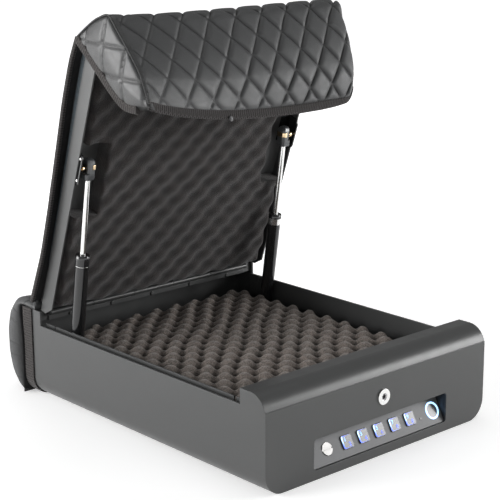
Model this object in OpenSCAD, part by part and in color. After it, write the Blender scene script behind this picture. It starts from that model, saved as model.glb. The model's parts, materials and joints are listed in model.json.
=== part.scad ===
// Biometric top-opening safe with a quilted leather cover, lid held open.
// Origin: centre of the underside. +X right, +Y towards the hinge, +Z up.

/* [Base] */
// Width of the steel base
base_w = 300; // [280:5:340]
// Depth of the base, front face to rear
base_d = 375; // [360:5:420]
// Height of the front bezel and of the rear ears
base_h = 96; // [94:1:110]
// Height of the side walls between bezel and ears
wall_h = 80.8; // [79:0.2:84]
// Thickness of the base's sheet steel
sheet = 2; // [1.6:0.1:2.4]
// Radius of the long bottom edges
bottom_r = 21; // [12:1:22]
// Depth of the bezel's flat top, from the front face
bezel_d = 34; // [34:1:42]
// Radius of the rolled front top edge
bezel_r = 20; // [10:1:22]
// Depth of the rear deck and its ears
ear_d = 28; // [24:1:36]
// Radius of the four anchor holes in the floor
anchor_r = 3.5; // [2.5:0.5:5]
// Anchor hole spacing from side to side
anchor_x = 200; // [160:10:220]
// Anchor hole spacing from front to back
anchor_y = 220; // [180:10:260]

/* [Rails and bulkhead] */
// Height of the tray's inner rails
rail_h = 83; // [81:0.5:84]
// Distance of a rail from the side wall
rail_gap = 4; // [3.6:0.2:4.4]
// Thickness of a rail's strip
rail_t = 1.5; // [1:0.1:1.7]
// Depth of a rail's upright strip
rail_band = 25; // [18:1:30]

/* [Lid] */
// Opening angle of the lid in the rest pose
lid_open = 71; // [60:1:80]
// Thickness of the lid's sheet
lid_t = 1.5; // [1.2:0.1:1.8]
// Depth of the lid's flanges
flange_d = 17.5; // [14:0.5:18]
// Clearance between lid flange and side wall
lid_side_gap = 0.5; // [0.4:0.1:0.8]
// Clearance between lid and bezel
lid_front_gap = 1; // [1:0.1:2]
// Radius of the hinge knuckles
knuckle_r = 3; // [2.6:0.1:3.2]
// Radius of the hinge pin
pin_r = 1.5; // [1:0.1:1.7]

/* [Foam] */
// Height of the egg-crate peaks above the ground
foam_top = 70; // [62:1:71]
// Height where the egg-crate sheet lies on the plank
foam_joint = 40; // [30:1:44]
// Distance between neighbouring peaks in a row
foam_pitch = 27.4; // [24:0.2:32]
// Depth of a valley below the peaks
foam_depth = 16; // [10:1:18]
// Width of the side channels for the gas struts
strut_channel = 25; // [24:1:32]
// Thickness of the lid's foam
lid_foam_t = 18.5; // [14:0.5:19]

/* [Gas struts] */
// Distance of a strut's axis from the side wall's outside
strut_inset = 17; // [16.5:0.5:19]
// Height of the lower ball
ball_z = 40; // [38:1:44]
// Distance of the lower ball ahead of the hinge axis
ball_back = 37; // [30:1:44]
// Distance of the upper ball from the hinge, along the lid
ball_u = 176; // [170:1:186]
// Depth of the upper ball below the lid's top face
ball_v = 16.5; // [15:0.5:18]
// Outer radius of the strut's tube
tube_r = 7; // [6:0.25:7.5]
// Length of the tube from the lower ball
tube_l = 126.8; // [110:0.4:128]
// Radius of the rod
rod_r = 3; // [2:0.25:3.5]
// Radius of the ball studs
ball_r = 4; // [3:0.25:4.5]

/* [Controls] */
// Tilt of the keypad plate from upright
plate_tilt = 28.8; // [20:0.4:32]
// Width of the keypad recess
recess_w = 183; // [176:1:190]
// Lower edge of the keypad recess above the ground
recess_z = 9.5; // [8:0.5:12]
// Height of the keypad recess in the front face
recess_h = 30.5; // [28:0.5:34]
// Offset of the recess to the right of the middle
recess_x = 1.5; // [0:0.5:3]
// Width of a key
key_w = 13.2; // [11:0.2:14]
// Height of a key
key_h = 12.8; // [11:0.2:14]
// Distance between neighbouring keys
key_pitch = 21.8; // [19:0.2:23]
// Place of the middle key
key_x = 4.5; // [3:0.5:7]
// Height of the controls' centre line up the tilted plate
control_y = 13.8; // [12:0.2:16]
// How far a key stands proud of the plate
key_proud = 1.2; // [0.9:0.1:1.6]
// Travel of a key
key_travel = 0.8; // [0.5:0.1:0.9]
// Radius of the fingerprint reader's light ring
ring_r = 8.75; // [7:0.25:9.5]
// Radius of the fingerprint reader's sensor
sensor_r = 7; // [5:0.25:7.2]
// Place of the fingerprint reader
ring_x = 81.5; // [79:0.5:82]
// Radius of the service screw's head
service_r = 6.2; // [5:0.2:7]
// Place of the service screw
service_x = -65.1; // [-70:0.1:-62]
// Radius of the key lock's bright face
lock_face_r = 7.8; // [7.6:0.1:9]
// Radius of the key lock's barrel
lock_r = 7; // [6:0.25:7.25]
// Radius of the key lock's turning plug
plug_r = 3.6; // [3:0.1:4]
// Height of the key lock above the ground
lock_z = 59; // [57:0.5:60]
// Place of the key lock
lock_x = 1.3; // [0:0.1:3]

/* [Latch] */
// Radius of the two latch bolts
bolt_r = 3.5; // [3:0.25:4]
// Distance between the latch bolts
bolt_span = 150; // [120:5:170]
// Depth of the bolts' axis below the lid's top
bolt_drop = 9; // [8.5:0.5:10]
// Travel of the latch bolts
bolt_travel = 7; // [5:0.5:8]
// Teeth of the motor's pinion
pinion_teeth = 18; // [14:1:20]
// Tooth module of the pinion and rack
gear_module = 0.6667; // [0.6:0.0333:0.7]

/* [Cover] */
// How far the quilted cover stands out past the base on each side
cover_over = 6; // [5:0.5:9]
// Thickness of the padded sheets
pad_t = 8.5; // [7:0.5:9]
// Swell of a quilted diamond
quilt_swell = 2.6; // [1:0.2:4]
// Width of a quilted diamond
quilt_w = 32.4; // [24:0.4:40]
// Length of a quilted diamond
quilt_l = 43; // [32:1:56]
// Thickness of the webbing that binds the edges
binding_t = 1.5; // [1:0.1:2]
// Thickness of the flap's side gussets
gusset_t = 5; // [3:0.5:5]

/* [Hidden] */
$fn = 48;

// Colours
paint = "#3a3c3e";
dark = "#191a1b";
steel = "#c8c8c8";
foam_grey = "#5d5753";
leather = "#2f3032";
webbing = "#231f1d";

// Clearances: a running fit, a loose fit, and a gap between separate bodies
run_fit = 0.05;
loose_fit = 0.3;
body_gap = 0.3;
seat_gap = 0.1;

// Places on the base, measured from the front face
hinge_y = base_d - ear_d;
hinge_z = base_h - knuckle_r;
deck_y = hinge_y + knuckle_r + 0.5;
deck_lip = 12;
inner_x = base_w / 2 - sheet;
bulkhead_y = bezel_d - sheet;
rail_x = inner_x - rail_gap;
rail_notch_y = 45.5;
rail_notch_w = 3;
rail_slit_y = 328;
rail_slit_w = 1.2;
rail_end_gap = 2;
rail_y0 = bezel_d + lid_front_gap + lid_t + 1;
foam_w = base_w - 2 * strut_channel;
foam_y0 = bezel_d + 1;
foam_y1 = hinge_y - 2;
plank_gap = 0.3;

// Lid sizes: along the lid from the hinge axis, and down from its top face
lid_u0 = 4;
lid_u1 = hinge_y - bezel_d - lid_front_gap;
lid_half = inner_x - lid_side_gap;
flange_cut_u = 14;
flange_cut_v = 8;
lid_foam_u0 = 13;
lid_foam_u1 = lid_u1 - 11;
lid_foam_half = rail_x - rail_t - 1.5;
lid_foam_narrow = 120;
lid_foam_step = 126;
lid_foam_wide = ball_u + 20;
bolt_z = base_h - bolt_drop;

// Gas strut: where its two balls are, open and shut
strut_x = base_w / 2 - strut_inset;
ball_y = hinge_y - ball_back;
function lid_y(u, w, a) = hinge_y - u * cos(a) + w * sin(a);
function lid_z(u, w, a) = hinge_z + u * sin(a) + w * cos(a);
ball_w = knuckle_r - ball_v;
open_dy = lid_y(ball_u, ball_w, lid_open) - ball_y;
open_dz = lid_z(ball_u, ball_w, lid_open) - ball_z;
strut_l = sqrt(open_dy * open_dy + open_dz * open_dz);
strut_lean = atan2(-open_dy, open_dz);
shut_dy = lid_y(ball_u, ball_w, 0) - ball_y;
shut_dz = lid_z(ball_u, ball_w, 0) - ball_z;
shut_l = sqrt(shut_dy * shut_dy + shut_dz * shut_dz);
strut_stroke = strut_l - shut_l;
socket_below = 12;
tube_wall = 1.4;
piston_h = 8;
piston_z = tube_l - 10 - piston_h - 8;
bore_z = piston_z - strut_stroke - 5;
bracket_in = strut_x + tube_r + body_gap;
bracket_t = 1.5;

// Keypad plate's own frame: y runs up the slope and z stands out of it
plate_y0 = sheet - 0.2;
plate_z0 = recess_z + 0.3;
plate_l = 34;
plate_t = 2;
board_z = -8;
board_t = 1.6;
keys = 5;
switch_h = 1.6;
stem_z = board_z + switch_h + key_travel + body_gap;
recess_corner = 3.5;
corner_r = 1.6;

// Latch gear: pitch line, teeth and places
pinion_r = gear_module * pinion_teeth / 2;
gear_pitch = PI * gear_module;
tooth_w = 0.3 * gear_pitch;
pinion_y = 20;
pinion_z = base_h - 24;
pinion_x = -9;
rack_z = pinion_z + pinion_r;
bar_y = 16;
bar_t = 4;

// Battery tray at the left end of the bezel, and its cells
tray_size = [48, 23, 23.4];
tray_place = [1 - inner_x, bulkhead_y - seat_gap - tray_size[1], recess_z + recess_h + 3];
cell_r = 5.2;

function turned(v) = [v[1], -v[0]];
function unit(v) = v / norm(v);
// Moves an outline to its right by t, mitred at its corners
function inset(p, t) = let (last = len(p) - 1) [for (i = [0 : last])
  let (a = turned(unit(i > 0 ? p[i] - p[i - 1] : p[1] - p[0])),
    b = turned(unit(i < last ? p[i + 1] - p[i] : p[last] - p[last - 1])))
  p[i] + t * (a + b) / (1 + a * b)];

cover_w = base_w + 2 * cover_over;
// Cover outlines along the lid: distance from the hinge axis, height above the lid's top face.
// The outer face of the pad bows from the hinge to the front, and the flap's outline is measured
// from the lid's front edge.
pad_bow = [[12, 6], [30, 4.5], [60, 4], [150, 10], [lid_u1 - 27, 10]];
pad_under = concat(pad_bow, [[lid_u1 - 8.4, 3]]);
pad_over = concat([for (p = pad_bow) p + [0, pad_t]], [[lid_u1 - 8.4, 3] + pad_t * [0.62, 0.76]]);
flap_over = [for (p = [[-2.6, 9], [7, 2], [25, -13], [40, -32], [31, -47], [20, -68], [6, -92],
  [-11, -108], [-15, -111.6]]) [lid_u1, 0] + p];
hem_l = 5.5;
hem_edge = len(flap_over) - 1;
// The flap's inner face, thinner where it passes over the lid's front corner
flap_in = inset(flap_over, pad_t);
flap_under = concat([[lid_u1 - 6.8, 4.4], [lid_u1 + 10.7, -5.65]],
  [for (i = [3 : hem_edge]) flap_in[i]]);
hem_way = unit(flap_over[hem_edge] - flap_over[hem_edge - 1]);
hem_outline = [flap_over[hem_edge] + body_gap * hem_way, flap_over[hem_edge] + hem_l * hem_way,
  flap_in[hem_edge] + hem_l * hem_way, flap_in[hem_edge] + body_gap * hem_way];
gusset_rim = [for (p = [[-31, -92], [-34, -77], [-28, -57], [-19, -34], [-10, -11]])
  [lid_u1, 0] + p];
gusset_outline = concat(flap_over, [hem_outline[1]], gusset_rim);
// Rear flap's outline behind the base: distance from the base's rear face, height
rear_over = concat([for (p = [[-25, 9], [-5, 10], [11, 5], [21, -8], [26, -30]]) [0, base_h] + p],
  [[26, 40], [21, 20], [11, 6], [2, 1]]);
rear_under = concat([for (p = [[-25, 1], [4, 3], [3, -12], [0.6, -32]]) [0, base_h] + p],
  [[0.6, 40], [0.6, 20], [0.6, 1]]);
wrap_outline = concat([for (x = [0.4, -12]) [x, base_h + 0.5]],
  [[-12, 40], [-15, 24], [-23, 14], [-42, 10], [-42, 5], [-20, 3], [0.4, 3]]);

// Places everything that is measured from the front face
module from_front() { translate([0, -base_d / 2, 0]) children(); }
// Extrudes an outline given as depth and height across the width, centred
module across(w) { rotate([90, 0, 90]) translate([0, 0, -w / 2]) linear_extrude(w) children(); }
// Extrudes an outline given as width and height from one depth to another
module between(y0, y1) { translate([0, y1, 0]) rotate([90, 0, 0]) linear_extrude(y1 - y0) children(); }
// Lid frame: the shut lid's axes, turned about the hinge by the opening angle
module on_lid() { from_front() translate([0, hinge_y, hinge_z]) rotate([-lid_open, 0, 0]) children(); }
// A block on the lid, from u0 to u1 along it and from v0 to v1 above its top face
module lid_block(x0, x1, u0, u1, v0, v1) {
  translate([x0, -u1, knuckle_r + v0]) cube([x1 - x0, u1 - u0, v1 - v0]);
}
// Extrudes an outline given along and above the lid, from x0 to x1
module lid_outline(x0, x1, points) {
  rotate([90, 0, 90]) translate([0, 0, x0]) linear_extrude(x1 - x0)
    polygon([for (p = points) [-p[0], knuckle_r + p[1]]]);
}
// Keypad plate frame
module on_plate() {
  from_front() translate([0, plate_y0, plate_z0]) rotate([90 - plate_tilt, 0, 0]) children();
}
// Gas strut frame on one side: the origin at the lower ball, z up the strut
module on_strut(side) {
  from_front() translate([side * strut_x, ball_y, ball_z]) rotate([strut_lean, 0, 0]) children();
}
module rounded_rect(w, h, r) {
  square([w - 2 * r, h], center = true);
  square([w, h - 2 * r], center = true);
  for (x = [-1, 1], y = [-1, 1]) translate([x * (w / 2 - r), y * (h / 2 - r)]) circle(r);
}
// A cylinder along Y
module rod_y(r, y0, y1) { translate([0, y1, 0]) rotate([90, 0, 0]) cylinder(r = r, h = y1 - y0); }
// A cylinder along X
module rod_x(r, x0, x1) { translate([x0, 0, 0]) rotate([0, 90, 0]) cylinder(r = r, h = x1 - x0); }

// Side view of the base, inset by t, with its upper edges inset by top
module side_profile(t, top) {
  translate([t, t]) square([base_d - 2 * t, wall_h - t]);
  translate([t, t]) square([bezel_d - t, base_h - bezel_r - t]);
  translate([bezel_r, t]) square([bezel_d - bezel_r, base_h - t - top]);
  intersection() {
    translate([bezel_r, base_h - bezel_r]) circle(bezel_r - t);
    translate([0, base_h - bezel_r]) square(bezel_r);
  }
  translate([hinge_y, t]) square([ear_d - t, base_h - t - top]);
}
// Front view of the base, inset by t
module channel_profile(t) {
  translate([t - base_w / 2, bottom_r]) square([base_w - 2 * t, base_h]);
  translate([bottom_r - base_w / 2, t]) square([base_w - 2 * bottom_r, base_h]);
  for (s = [-1, 1]) translate([s * (base_w / 2 - bottom_r), bottom_r]) circle(bottom_r - t);
}

module base_shell() {
  color(paint) from_front() {
    difference() {
      intersection() {
        across(base_w) side_profile(0, 0);
        between(0, base_d) channel_profile(0);
      }
      intersection() {
        across(base_w) side_profile(sheet, sheet);
        between(sheet, base_d - sheet) channel_profile(sheet);
      }
      translate([-inner_x, bezel_d, 2 * bottom_r]) cube([2 * inner_x, deck_y - bezel_d, base_h]);
      translate([recess_x, -1, recess_z + recess_h / 2]) rotate([-90, 0, 0])
        linear_extrude(sheet + 2) rounded_rect(recess_w, recess_h, recess_corner);
      translate([lock_x, 0, lock_z]) rod_y(lock_r + loose_fit, -1, sheet + 1);
      for (x = [-1, 1], y = [-1, 1])
        translate([x * anchor_x / 2, base_d / 2 + y * anchor_y / 2, -1])
          cylinder(r = anchor_r, h = sheet + 2);
    }
    translate([-inner_x, deck_y, base_h - deck_lip]) cube([2 * inner_x, sheet, deck_lip - sheet]);
  }
}
module rail(side) {
  foot_t = 1.5;
  mirror([side < 0 ? 1 : 0, 0, 0]) difference() {
    union() {
      translate([rail_x - rail_t, rail_y0, rail_h - rail_band])
        cube([rail_t, hinge_y - rail_end_gap - rail_y0, rail_band]);
      translate([rail_x - rail_t, rail_y0, rail_h - rail_band])
        cube([rail_gap + rail_t, hinge_y - rail_end_gap - rail_y0, foot_t]);
    }
    translate([rail_x - rail_t - 1, rail_notch_y, rail_h - rail_band + 4])
      cube([rail_t + 2, rail_notch_w, rail_band]);
    translate([rail_x - rail_t - 1, rail_slit_y, rail_h - 7]) cube([rail_t + 2, rail_slit_w, 8]);
  }
}
module lid_rails() { color(paint) from_front() for (side = [-1, 1]) rail(side); }
module front_bulkhead() {
  color(paint) from_front() difference() {
    intersection() {
      between(bulkhead_y, bezel_d) channel_profile(sheet);
      translate([-base_w / 2, 0, 0]) cube([base_w, base_d, base_h - sheet]);
    }
    for (s = [-1, 1])
      translate([s * bolt_span / 2, 0, bolt_z]) rod_y(bolt_r + loose_fit, bulkhead_y - 1, bezel_d + 1);
  }
}

module keypad_housing() {
  wall = 1.8;
  half = recess_w / 2;
  roof_z = recess_z + recess_h;
  depth = plate_y0 + plate_l * sin(plate_tilt) + 3;
  cheek = [[sheet, recess_z - 1.5], [sheet, roof_z], [depth, roof_z], [depth, roof_z - 5],
    [sheet + 4, recess_z - 1.5]];
  color(dark) from_front() translate([recess_x, 0, 0]) {
    for (s = [-1, 1])
      translate([s * (half + wall / 2), 0, 0]) across(wall) polygon(cheek);
    translate([-half - wall, sheet, roof_z]) cube([2 * (half + wall), depth - sheet, wall]);
  }
}
module keypad_plate() {
  color("#515356") on_plate() difference() {
    union() {
      translate([recess_x - recess_w / 2 + loose_fit, 0, -plate_t])
        cube([recess_w - 2 * loose_fit, plate_l, plate_t]);
      for (x = [-50, -19, 24, 66]) translate([x, 4, board_z]) cylinder(r = 2, h = -board_z - 1);
    }
    for (k = [0 : keys - 1]) translate([key_place(k), control_y, -plate_t - 1])
      linear_extrude(plate_t + 2) rounded_rect(key_w + 2 * loose_fit, key_h + 2 * loose_fit, corner_r);
    translate([ring_x, control_y, -plate_t - 1]) cylinder(r = ring_r + seat_gap, h = plate_t + 2);
    translate([service_x, control_y, -plate_t - 1]) cylinder(r = 3 + seat_gap, h = plate_t + 2);
    translate([service_x, control_y, -1.6]) cylinder(r = service_r + loose_fit, h = 2);
    translate([lamp_x, lamp_y, -plate_t - 1]) cylinder(r = 1.2, h = plate_t + 2);
  }
}
function key_place(k) = key_x + (k - (keys - 1) / 2) * key_pitch;
lamp_x = key_place(4) + 14.5;
lamp_y = control_y - 4;
module key(k) {
  color("#2b2f36") on_plate() translate([key_place(k), control_y, 0]) {
    translate([0, 0, -3]) linear_extrude(3 + key_proud) rounded_rect(key_w, key_h, corner_r);
    translate([0, 0, stem_z]) cylinder(r = 2, h = -2 - stem_z);
  }
}
module key_1() { key(0); }
module key_2() { key(1); }
module key_3() { key(2); }
module key_4() { key(3); }
module key_5() { key(4); }
module fingerprint_ring() {
  color("#9fc8ff") on_plate() translate([ring_x, control_y, -3]) difference() {
    cylinder(r = ring_r, h = 3.6);
    translate([0, 0, -1]) cylinder(r = sensor_r + 0.2, h = 6);
  }
}
module fingerprint_pad() {
  color("#6d7278") on_plate() translate([ring_x, control_y, board_z])
    cylinder(r = sensor_r, h = 0.2 - board_z);
}
module status_lamp() {
  color("#d8dde2") on_plate() translate([lamp_x, lamp_y, board_z]) cylinder(r = 1, h = 0.3 - board_z);
}
module service_screw() {
  color(dark) on_plate() translate([service_x, control_y, 0]) difference() {
    union() {
      translate([0, 0, -1.5]) cylinder(r = service_r, h = 2.3);
      translate([0, 0, -9]) cylinder(r = 3, h = 8);
    }
    translate([-service_r - 1, -0.8, -0.4]) cube([2 * service_r + 2, 1.6, 2]);
  }
}
module keypad_board() {
  board_x0 = key_place(0) - 15;
  board_x1 = ring_x + 9;
  color("#1f5a35") on_plate() {
    translate([board_x0, 1.5, board_z - board_t]) cube([board_x1 - board_x0, plate_l - 8, board_t]);
    for (k = [0 : keys - 1]) translate([key_place(k) - 3, control_y - 3, board_z - 0.01])
      cube([6, 6, switch_h]);
  }
}
module lock_barrel() {
  color(steel) from_front() translate([lock_x, 0, lock_z]) difference() {
    union() {
      rod_y(lock_face_r, -1.4, 0);
      rod_y(lock_r, -0.5, 24);
    }
    rod_y(plug_r + run_fit, -2, 25);
  }
}
module lock_nut() {
  color(steel) from_front() translate([lock_x, 0, lock_z]) difference() {
    translate([0, sheet + 4, 0]) rotate([90, 0, 0]) cylinder(r = lock_r + 3.4, h = 4, $fn = 6);
    rod_y(lock_r + run_fit, sheet - 1, sheet + 5);
  }
}
module lock_plug() {
  color("#a8905a") from_front() translate([lock_x, 0, lock_z]) difference() {
    rod_y(plug_r, -0.9, 27);
    rod_y(2.4, -2, 6);
    translate([-0.6, -2, 1.8]) cube([1.2, 8, 1.3]);
  }
}
module lock_cam() {
  color(steel) from_front() translate([lock_x, 0, lock_z]) difference() {
    union() {
      rod_y(6, 24.6, 26.6);
      translate([0, 24.6, -3]) cube([14, 2, 6]);
    }
    rod_y(plug_r, 24, 27);
  }
}
// Places the four cells in their tray
module at_cells() {
  from_front() translate(tray_place) for (y = [5.9, 17.1], z = [5.9, 17.5])
    translate([0, y, z]) children();
}
module battery_tray() {
  color(dark) difference() {
    from_front() translate(tray_place) cube(tray_size);
    at_cells() {
      rod_x(cell_r + seat_gap, 1, tray_size[0] - 1);
      translate([1, -cell_r - 1.2, -4]) cube([tray_size[0] - 2, 4, 8]);
    }
  }
}
module battery_cells() {
  color("#8d9093") at_cells() {
    rod_x(cell_r, 1.2, 44.5);
    rod_x(1.9, 43.5, 45.6);
  }
}
module latch_motor() {
  color("#8d9093") from_front() translate([pinion_x, pinion_y, pinion_z]) difference() {
    union() {
      rod_x(6, -36, -7);
      rod_x(3, -8, -5.5);
    }
    rod_x(1.5 + run_fit, -12, -5);
  }
}
module motor_bracket() {
  color(steel) from_front() difference() {
    translate([pinion_x - 32, pinion_y, pinion_z - 5]) cube([20, bulkhead_y - pinion_y, 10]);
    translate([pinion_x, pinion_y, pinion_z]) rod_x(6, -40, -4);
  }
}
// Rack teeth behind the pinion, as many as the travel brings past it
rack_back = ceil(bolt_travel / gear_pitch);
module drive_pinion() {
  tooth_h = 1.6 * gear_module;
  color("#b39a5c") from_front() translate([pinion_x, pinion_y, pinion_z]) {
    rod_x(1.5, -11, 3);
    rod_x(pinion_r - gear_module, -3, 3);
    for (k = [0 : pinion_teeth - 1]) rotate([k * 360 / pinion_teeth, 0, 0])
      translate([-3, -tooth_w / 2, pinion_r - gear_module - 0.3]) cube([6, tooth_w, tooth_h + 0.3]);
  }
}
module latch_bolts() {
  color(steel) from_front() {
    translate([-bolt_span / 2 - 6, bar_y, bolt_z - 4]) cube([bolt_span + 12, bar_t, 8]);
    for (s = [-1, 1]) translate([s * bolt_span / 2, 0, bolt_z])
      rod_y(bolt_r, bar_y + bar_t - 1, bezel_d - 0.5);
    translate([pinion_x - 3, pinion_y - rack_back * gear_pitch, rack_z + gear_module])
      cube([6, (rack_back + 2) * gear_pitch, bolt_z - 3 - rack_z - gear_module]);
    for (k = [-rack_back : 1])
      translate([pinion_x - 3, pinion_y + (k + 0.5) * gear_pitch - tooth_w / 2,
        rack_z - 0.75 * gear_module]) cube([6, tooth_w, 2 * gear_module]);
  }
}

// Egg-crate sheet. Cells of half a pitch have peaks and valleys at alternate corners and a saddle
// in the middle, and kept(i, j) says which cells the outline holds.
module egg_crate(x0, y0, nx, ny, cell_x, cell_y, z_low, z_top, depth, narrow_i, narrow_j, wide_j) {
  function wide(j) = j < narrow_j || j >= wide_j;
  function kept(i, j) = i >= 0 && i < nx && j >= 0 && j < ny
    && (wide(j) || (i >= narrow_i && i < nx - narrow_i));
  n = (nx + 1) * (ny + 1);
  function corner(i, j) = j * (nx + 1) + i;
  top = [for (j = [0 : ny], i = [0 : nx])
    [x0 + i * cell_x, y0 + j * cell_y, z_top - ((i + j) % 2 == 0 ? 0 : depth)]];
  low = [for (j = [0 : ny], i = [0 : nx]) [x0 + i * cell_x, y0 + j * cell_y, z_low]];
  mid = [for (j = [0 : ny - 1], i = [0 : nx - 1])
    [x0 + (i + 0.5) * cell_x, y0 + (j + 0.5) * cell_y, z_top - depth / 2]];
  faces = [for (j = [0 : ny - 1], i = [0 : nx - 1]) if (kept(i, j))
    let (a = corner(i, j), b = corner(i + 1, j), c = corner(i + 1, j + 1), d = corner(i, j + 1),
      m = 2 * n + j * nx + i)
    for (f = concat(
      [[b, a, m], [c, b, m], [d, c, m], [a, d, m]],
      kept(i, j - 1) ? [] : [[a, b, b + n], [a, b + n, a + n]],
      kept(i + 1, j) ? [] : [[b, c, c + n], [b, c + n, b + n]],
      kept(i, j + 1) ? [] : [[c, d, d + n], [c, d + n, c + n]],
      kept(i - 1, j) ? [] : [[d, a, a + n], [d, a + n, d + n]])) f];
  // The flat underside is strips one cell deep, which use the rim's corners alone
  function rim(j, lo) = [for (i = [lo : nx - lo])
    if (i == lo || i == nx - lo || j == 0 || j == ny
      || ((j == narrow_j || j == wide_j) && (i <= narrow_i || i >= nx - narrow_i)))
    n + corner(i, j)];
  under = [for (j = [0 : ny - 1])
    let (lo = wide(j) ? 0 : narrow_i, a = rim(j, lo), b = rim(j + 1, lo))
    for (f = concat([for (k = [0 : len(a) - 2]) [a[k], a[k + 1], b[0]]],
      [for (k = [0 : len(b) - 2]) [a[len(a) - 1], b[k + 1], b[k]]])) f];
  polyhedron(concat(top, low, mid), concat(faces, under));
}
module floor_foam() {
  color(foam_grey) from_front() intersection() {
    translate([-foam_w / 2, foam_y0, sheet])
      cube([foam_w, foam_y1 - foam_y0, foam_joint - plank_gap - sheet]);
    between(foam_y0, foam_y1) channel_profile(sheet);
  }
}
module tray_foam() {
  nx = round(foam_w / (foam_pitch / 2));
  ny = round((foam_y1 - foam_y0) / (foam_pitch / 2));
  color(foam_grey) from_front() egg_crate(-foam_w / 2, foam_y0, nx, ny, foam_w / nx,
    (foam_y1 - foam_y0) / ny, foam_joint, foam_top, foam_depth, 0, ny, ny);
}
module lid_foam() {
  nx = 2 * round(lid_foam_half / (foam_pitch / 2));
  ny = round((lid_foam_u1 - lid_foam_u0) / (foam_pitch / 2));
  cell_x = 2 * lid_foam_half / nx;
  cell_y = (lid_foam_u1 - lid_foam_u0) / ny;
  color("#3c3836") on_lid() rotate([180, 0, 0]) egg_crate(-lid_foam_half, lid_foam_u0, nx, ny,
    cell_x, cell_y, lid_t - knuckle_r, lid_t - knuckle_r + lid_foam_t, foam_depth,
    ceil((lid_foam_half - lid_foam_narrow) / cell_x),
    floor((lid_foam_step - lid_foam_u0) / cell_y), ceil((lid_foam_wide - lid_foam_u0) / cell_y));
}

knuckles = 5;
knuckle_l = (2 * lid_half - 20) / knuckles;
module knuckle(k, bore_r, leaf) {
  gap = 0.5;
  x0 = -lid_half + 10 + k * knuckle_l;
  difference() {
    union() {
      rod_x(knuckle_r, x0, x0 + knuckle_l - gap);
      translate([x0, 0, 0]) rotate([90, 0, 90]) linear_extrude(knuckle_l - gap) polygon(leaf);
    }
    rod_x(bore_r, x0 - 1, x0 + knuckle_l);
  }
}
module hinge_base_leaf() {
  leaf_t = deck_y - hinge_y - 2;
  x0 = -lid_half + 10;
  color(steel) from_front() translate([0, hinge_y, hinge_z]) {
    for (k = [0, 2, 4])
      knuckle(k, pin_r, [[2, 0], [deck_y - hinge_y, 0], [deck_y - hinge_y, -8], [2, -8]]);
    translate([x0, 2, -9]) cube([knuckles * knuckle_l - 0.5, leaf_t, 4.5]);
  }
}
module hinge_lid_leaf() {
  top = knuckle_r - lid_t;
  color(steel) on_lid() for (k = [1, 3])
    knuckle(k, pin_r + run_fit, [[-11, top], [0, top], [0, top - 1.4], [-11, top - 1.4]]);
}
module hinge_pin() {
  color("#9a9c9e") from_front() translate([0, hinge_y, hinge_z])
    rod_x(pin_r, 9 - lid_half, lid_half - 10);
}
module hinge_screws() {
  color("#9a9c9e") from_front() for (k = [0 : 4]) {
    x = -lid_half + 10 + (k + 0.5) * knuckle_l;
    translate([x, hinge_y, hinge_z - 6.7]) rod_y(2, 0.8, 2);
  }
}

module lower_brackets() {
  color(dark) from_front() for (s = [-1, 1]) mirror([s < 0 ? 1 : 0, 0, 0])
    translate([0, ball_y, ball_z]) {
      translate([inner_x - bracket_t, -14, -9]) cube([bracket_t, 28, 18]);
      rod_x(2.2, strut_x, inner_x - bracket_t / 2);
      rod_x(4.5, inner_x - bracket_t - 2, inner_x - bracket_t / 2);
      translate([strut_x, 0, 0]) sphere(ball_r);
    }
}
// Tube with its lower ball socket and its guide bore at the top
module strut_tube(side) {
  socket_r = ball_r + 2.4;
  color(dark) on_strut(side) difference() {
    union() {
      translate([0, 0, 9]) cylinder(r = tube_r, h = tube_l - 9);
      rod_x(socket_r, -5.5, 4);
      cylinder(r = 4, h = 12);
    }
    sphere(ball_r + loose_fit);
    mirror([side < 0 ? 1 : 0, 0, 0]) rod_x(ball_r + loose_fit, 0, 9);
    translate([0, 0, bore_z]) cylinder(r = tube_r - tube_wall, h = tube_l - 8 - bore_z);
    translate([0, 0, tube_l - 9]) cylinder(r = rod_r + run_fit, h = 10);
    translate([0, 0, collar_z]) difference() {
      cylinder(r = tube_r + 1, h = collar_h);
      translate([0, 0, -1]) cylinder(r = tube_r - 0.6, h = collar_h + 2);
    }
  }
}
collar_h = 6.5;
collar_z = tube_l - 11;
module strut_collar(side) {
  color(steel) on_strut(side) translate([0, 0, collar_z]) difference() {
    cylinder(r = tube_r + 0.2, h = collar_h);
    translate([0, 0, -1]) cylinder(r = tube_r - 0.6, h = collar_h + 2);
  }
}
// Rod with its piston inside the tube
module strut_rod(side) {
  color("#e2e2e2") on_strut(side) {
    translate([0, 0, piston_z]) cylinder(r = rod_r, h = strut_l - socket_below + 3 - piston_z);
    translate([0, 0, piston_z]) cylinder(r = tube_r - tube_wall - seat_gap, h = piston_h);
  }
}
// Upper end fitting with the ball stud that it grips
module rod_socket(side) {
  color("#4a4c4f") on_strut(side) difference() {
    union() {
      translate([0, 0, strut_l - socket_below]) cylinder(r = 5.6, h = socket_below);
      translate([0, 0, strut_l]) mirror([side < 0 ? 1 : 0, 0, 0]) {
        rod_x(7, -5.5, 3.5);
        rod_x(2.2, 0, bracket_in - strut_x - body_gap);
      }
    }
    translate([0, 0, strut_l - socket_below - 1]) cylinder(r = rod_r, h = 4);
  }
}
module socket_clip(side) {
  color("#d8c9a0") on_strut(side) translate([0, 0, strut_l]) mirror([side < 0 ? 1 : 0, 0, 0])
    difference() {
      translate([-6.85, -1.6, -9]) cube([1.2, 3.2, 14]);
      rod_x(1, -8, -5);
    }
}
module left_tube() { strut_tube(-1); }
module left_collar() { strut_collar(-1); }
module left_rod() { strut_rod(-1); }
module left_socket() { rod_socket(-1); }
module left_clip() { socket_clip(-1); }
module right_tube() { strut_tube(1); }
module right_collar() { strut_collar(1); }
module right_rod() { strut_rod(1); }
module right_socket() { rod_socket(1); }
module right_clip() { socket_clip(1); }

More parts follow.
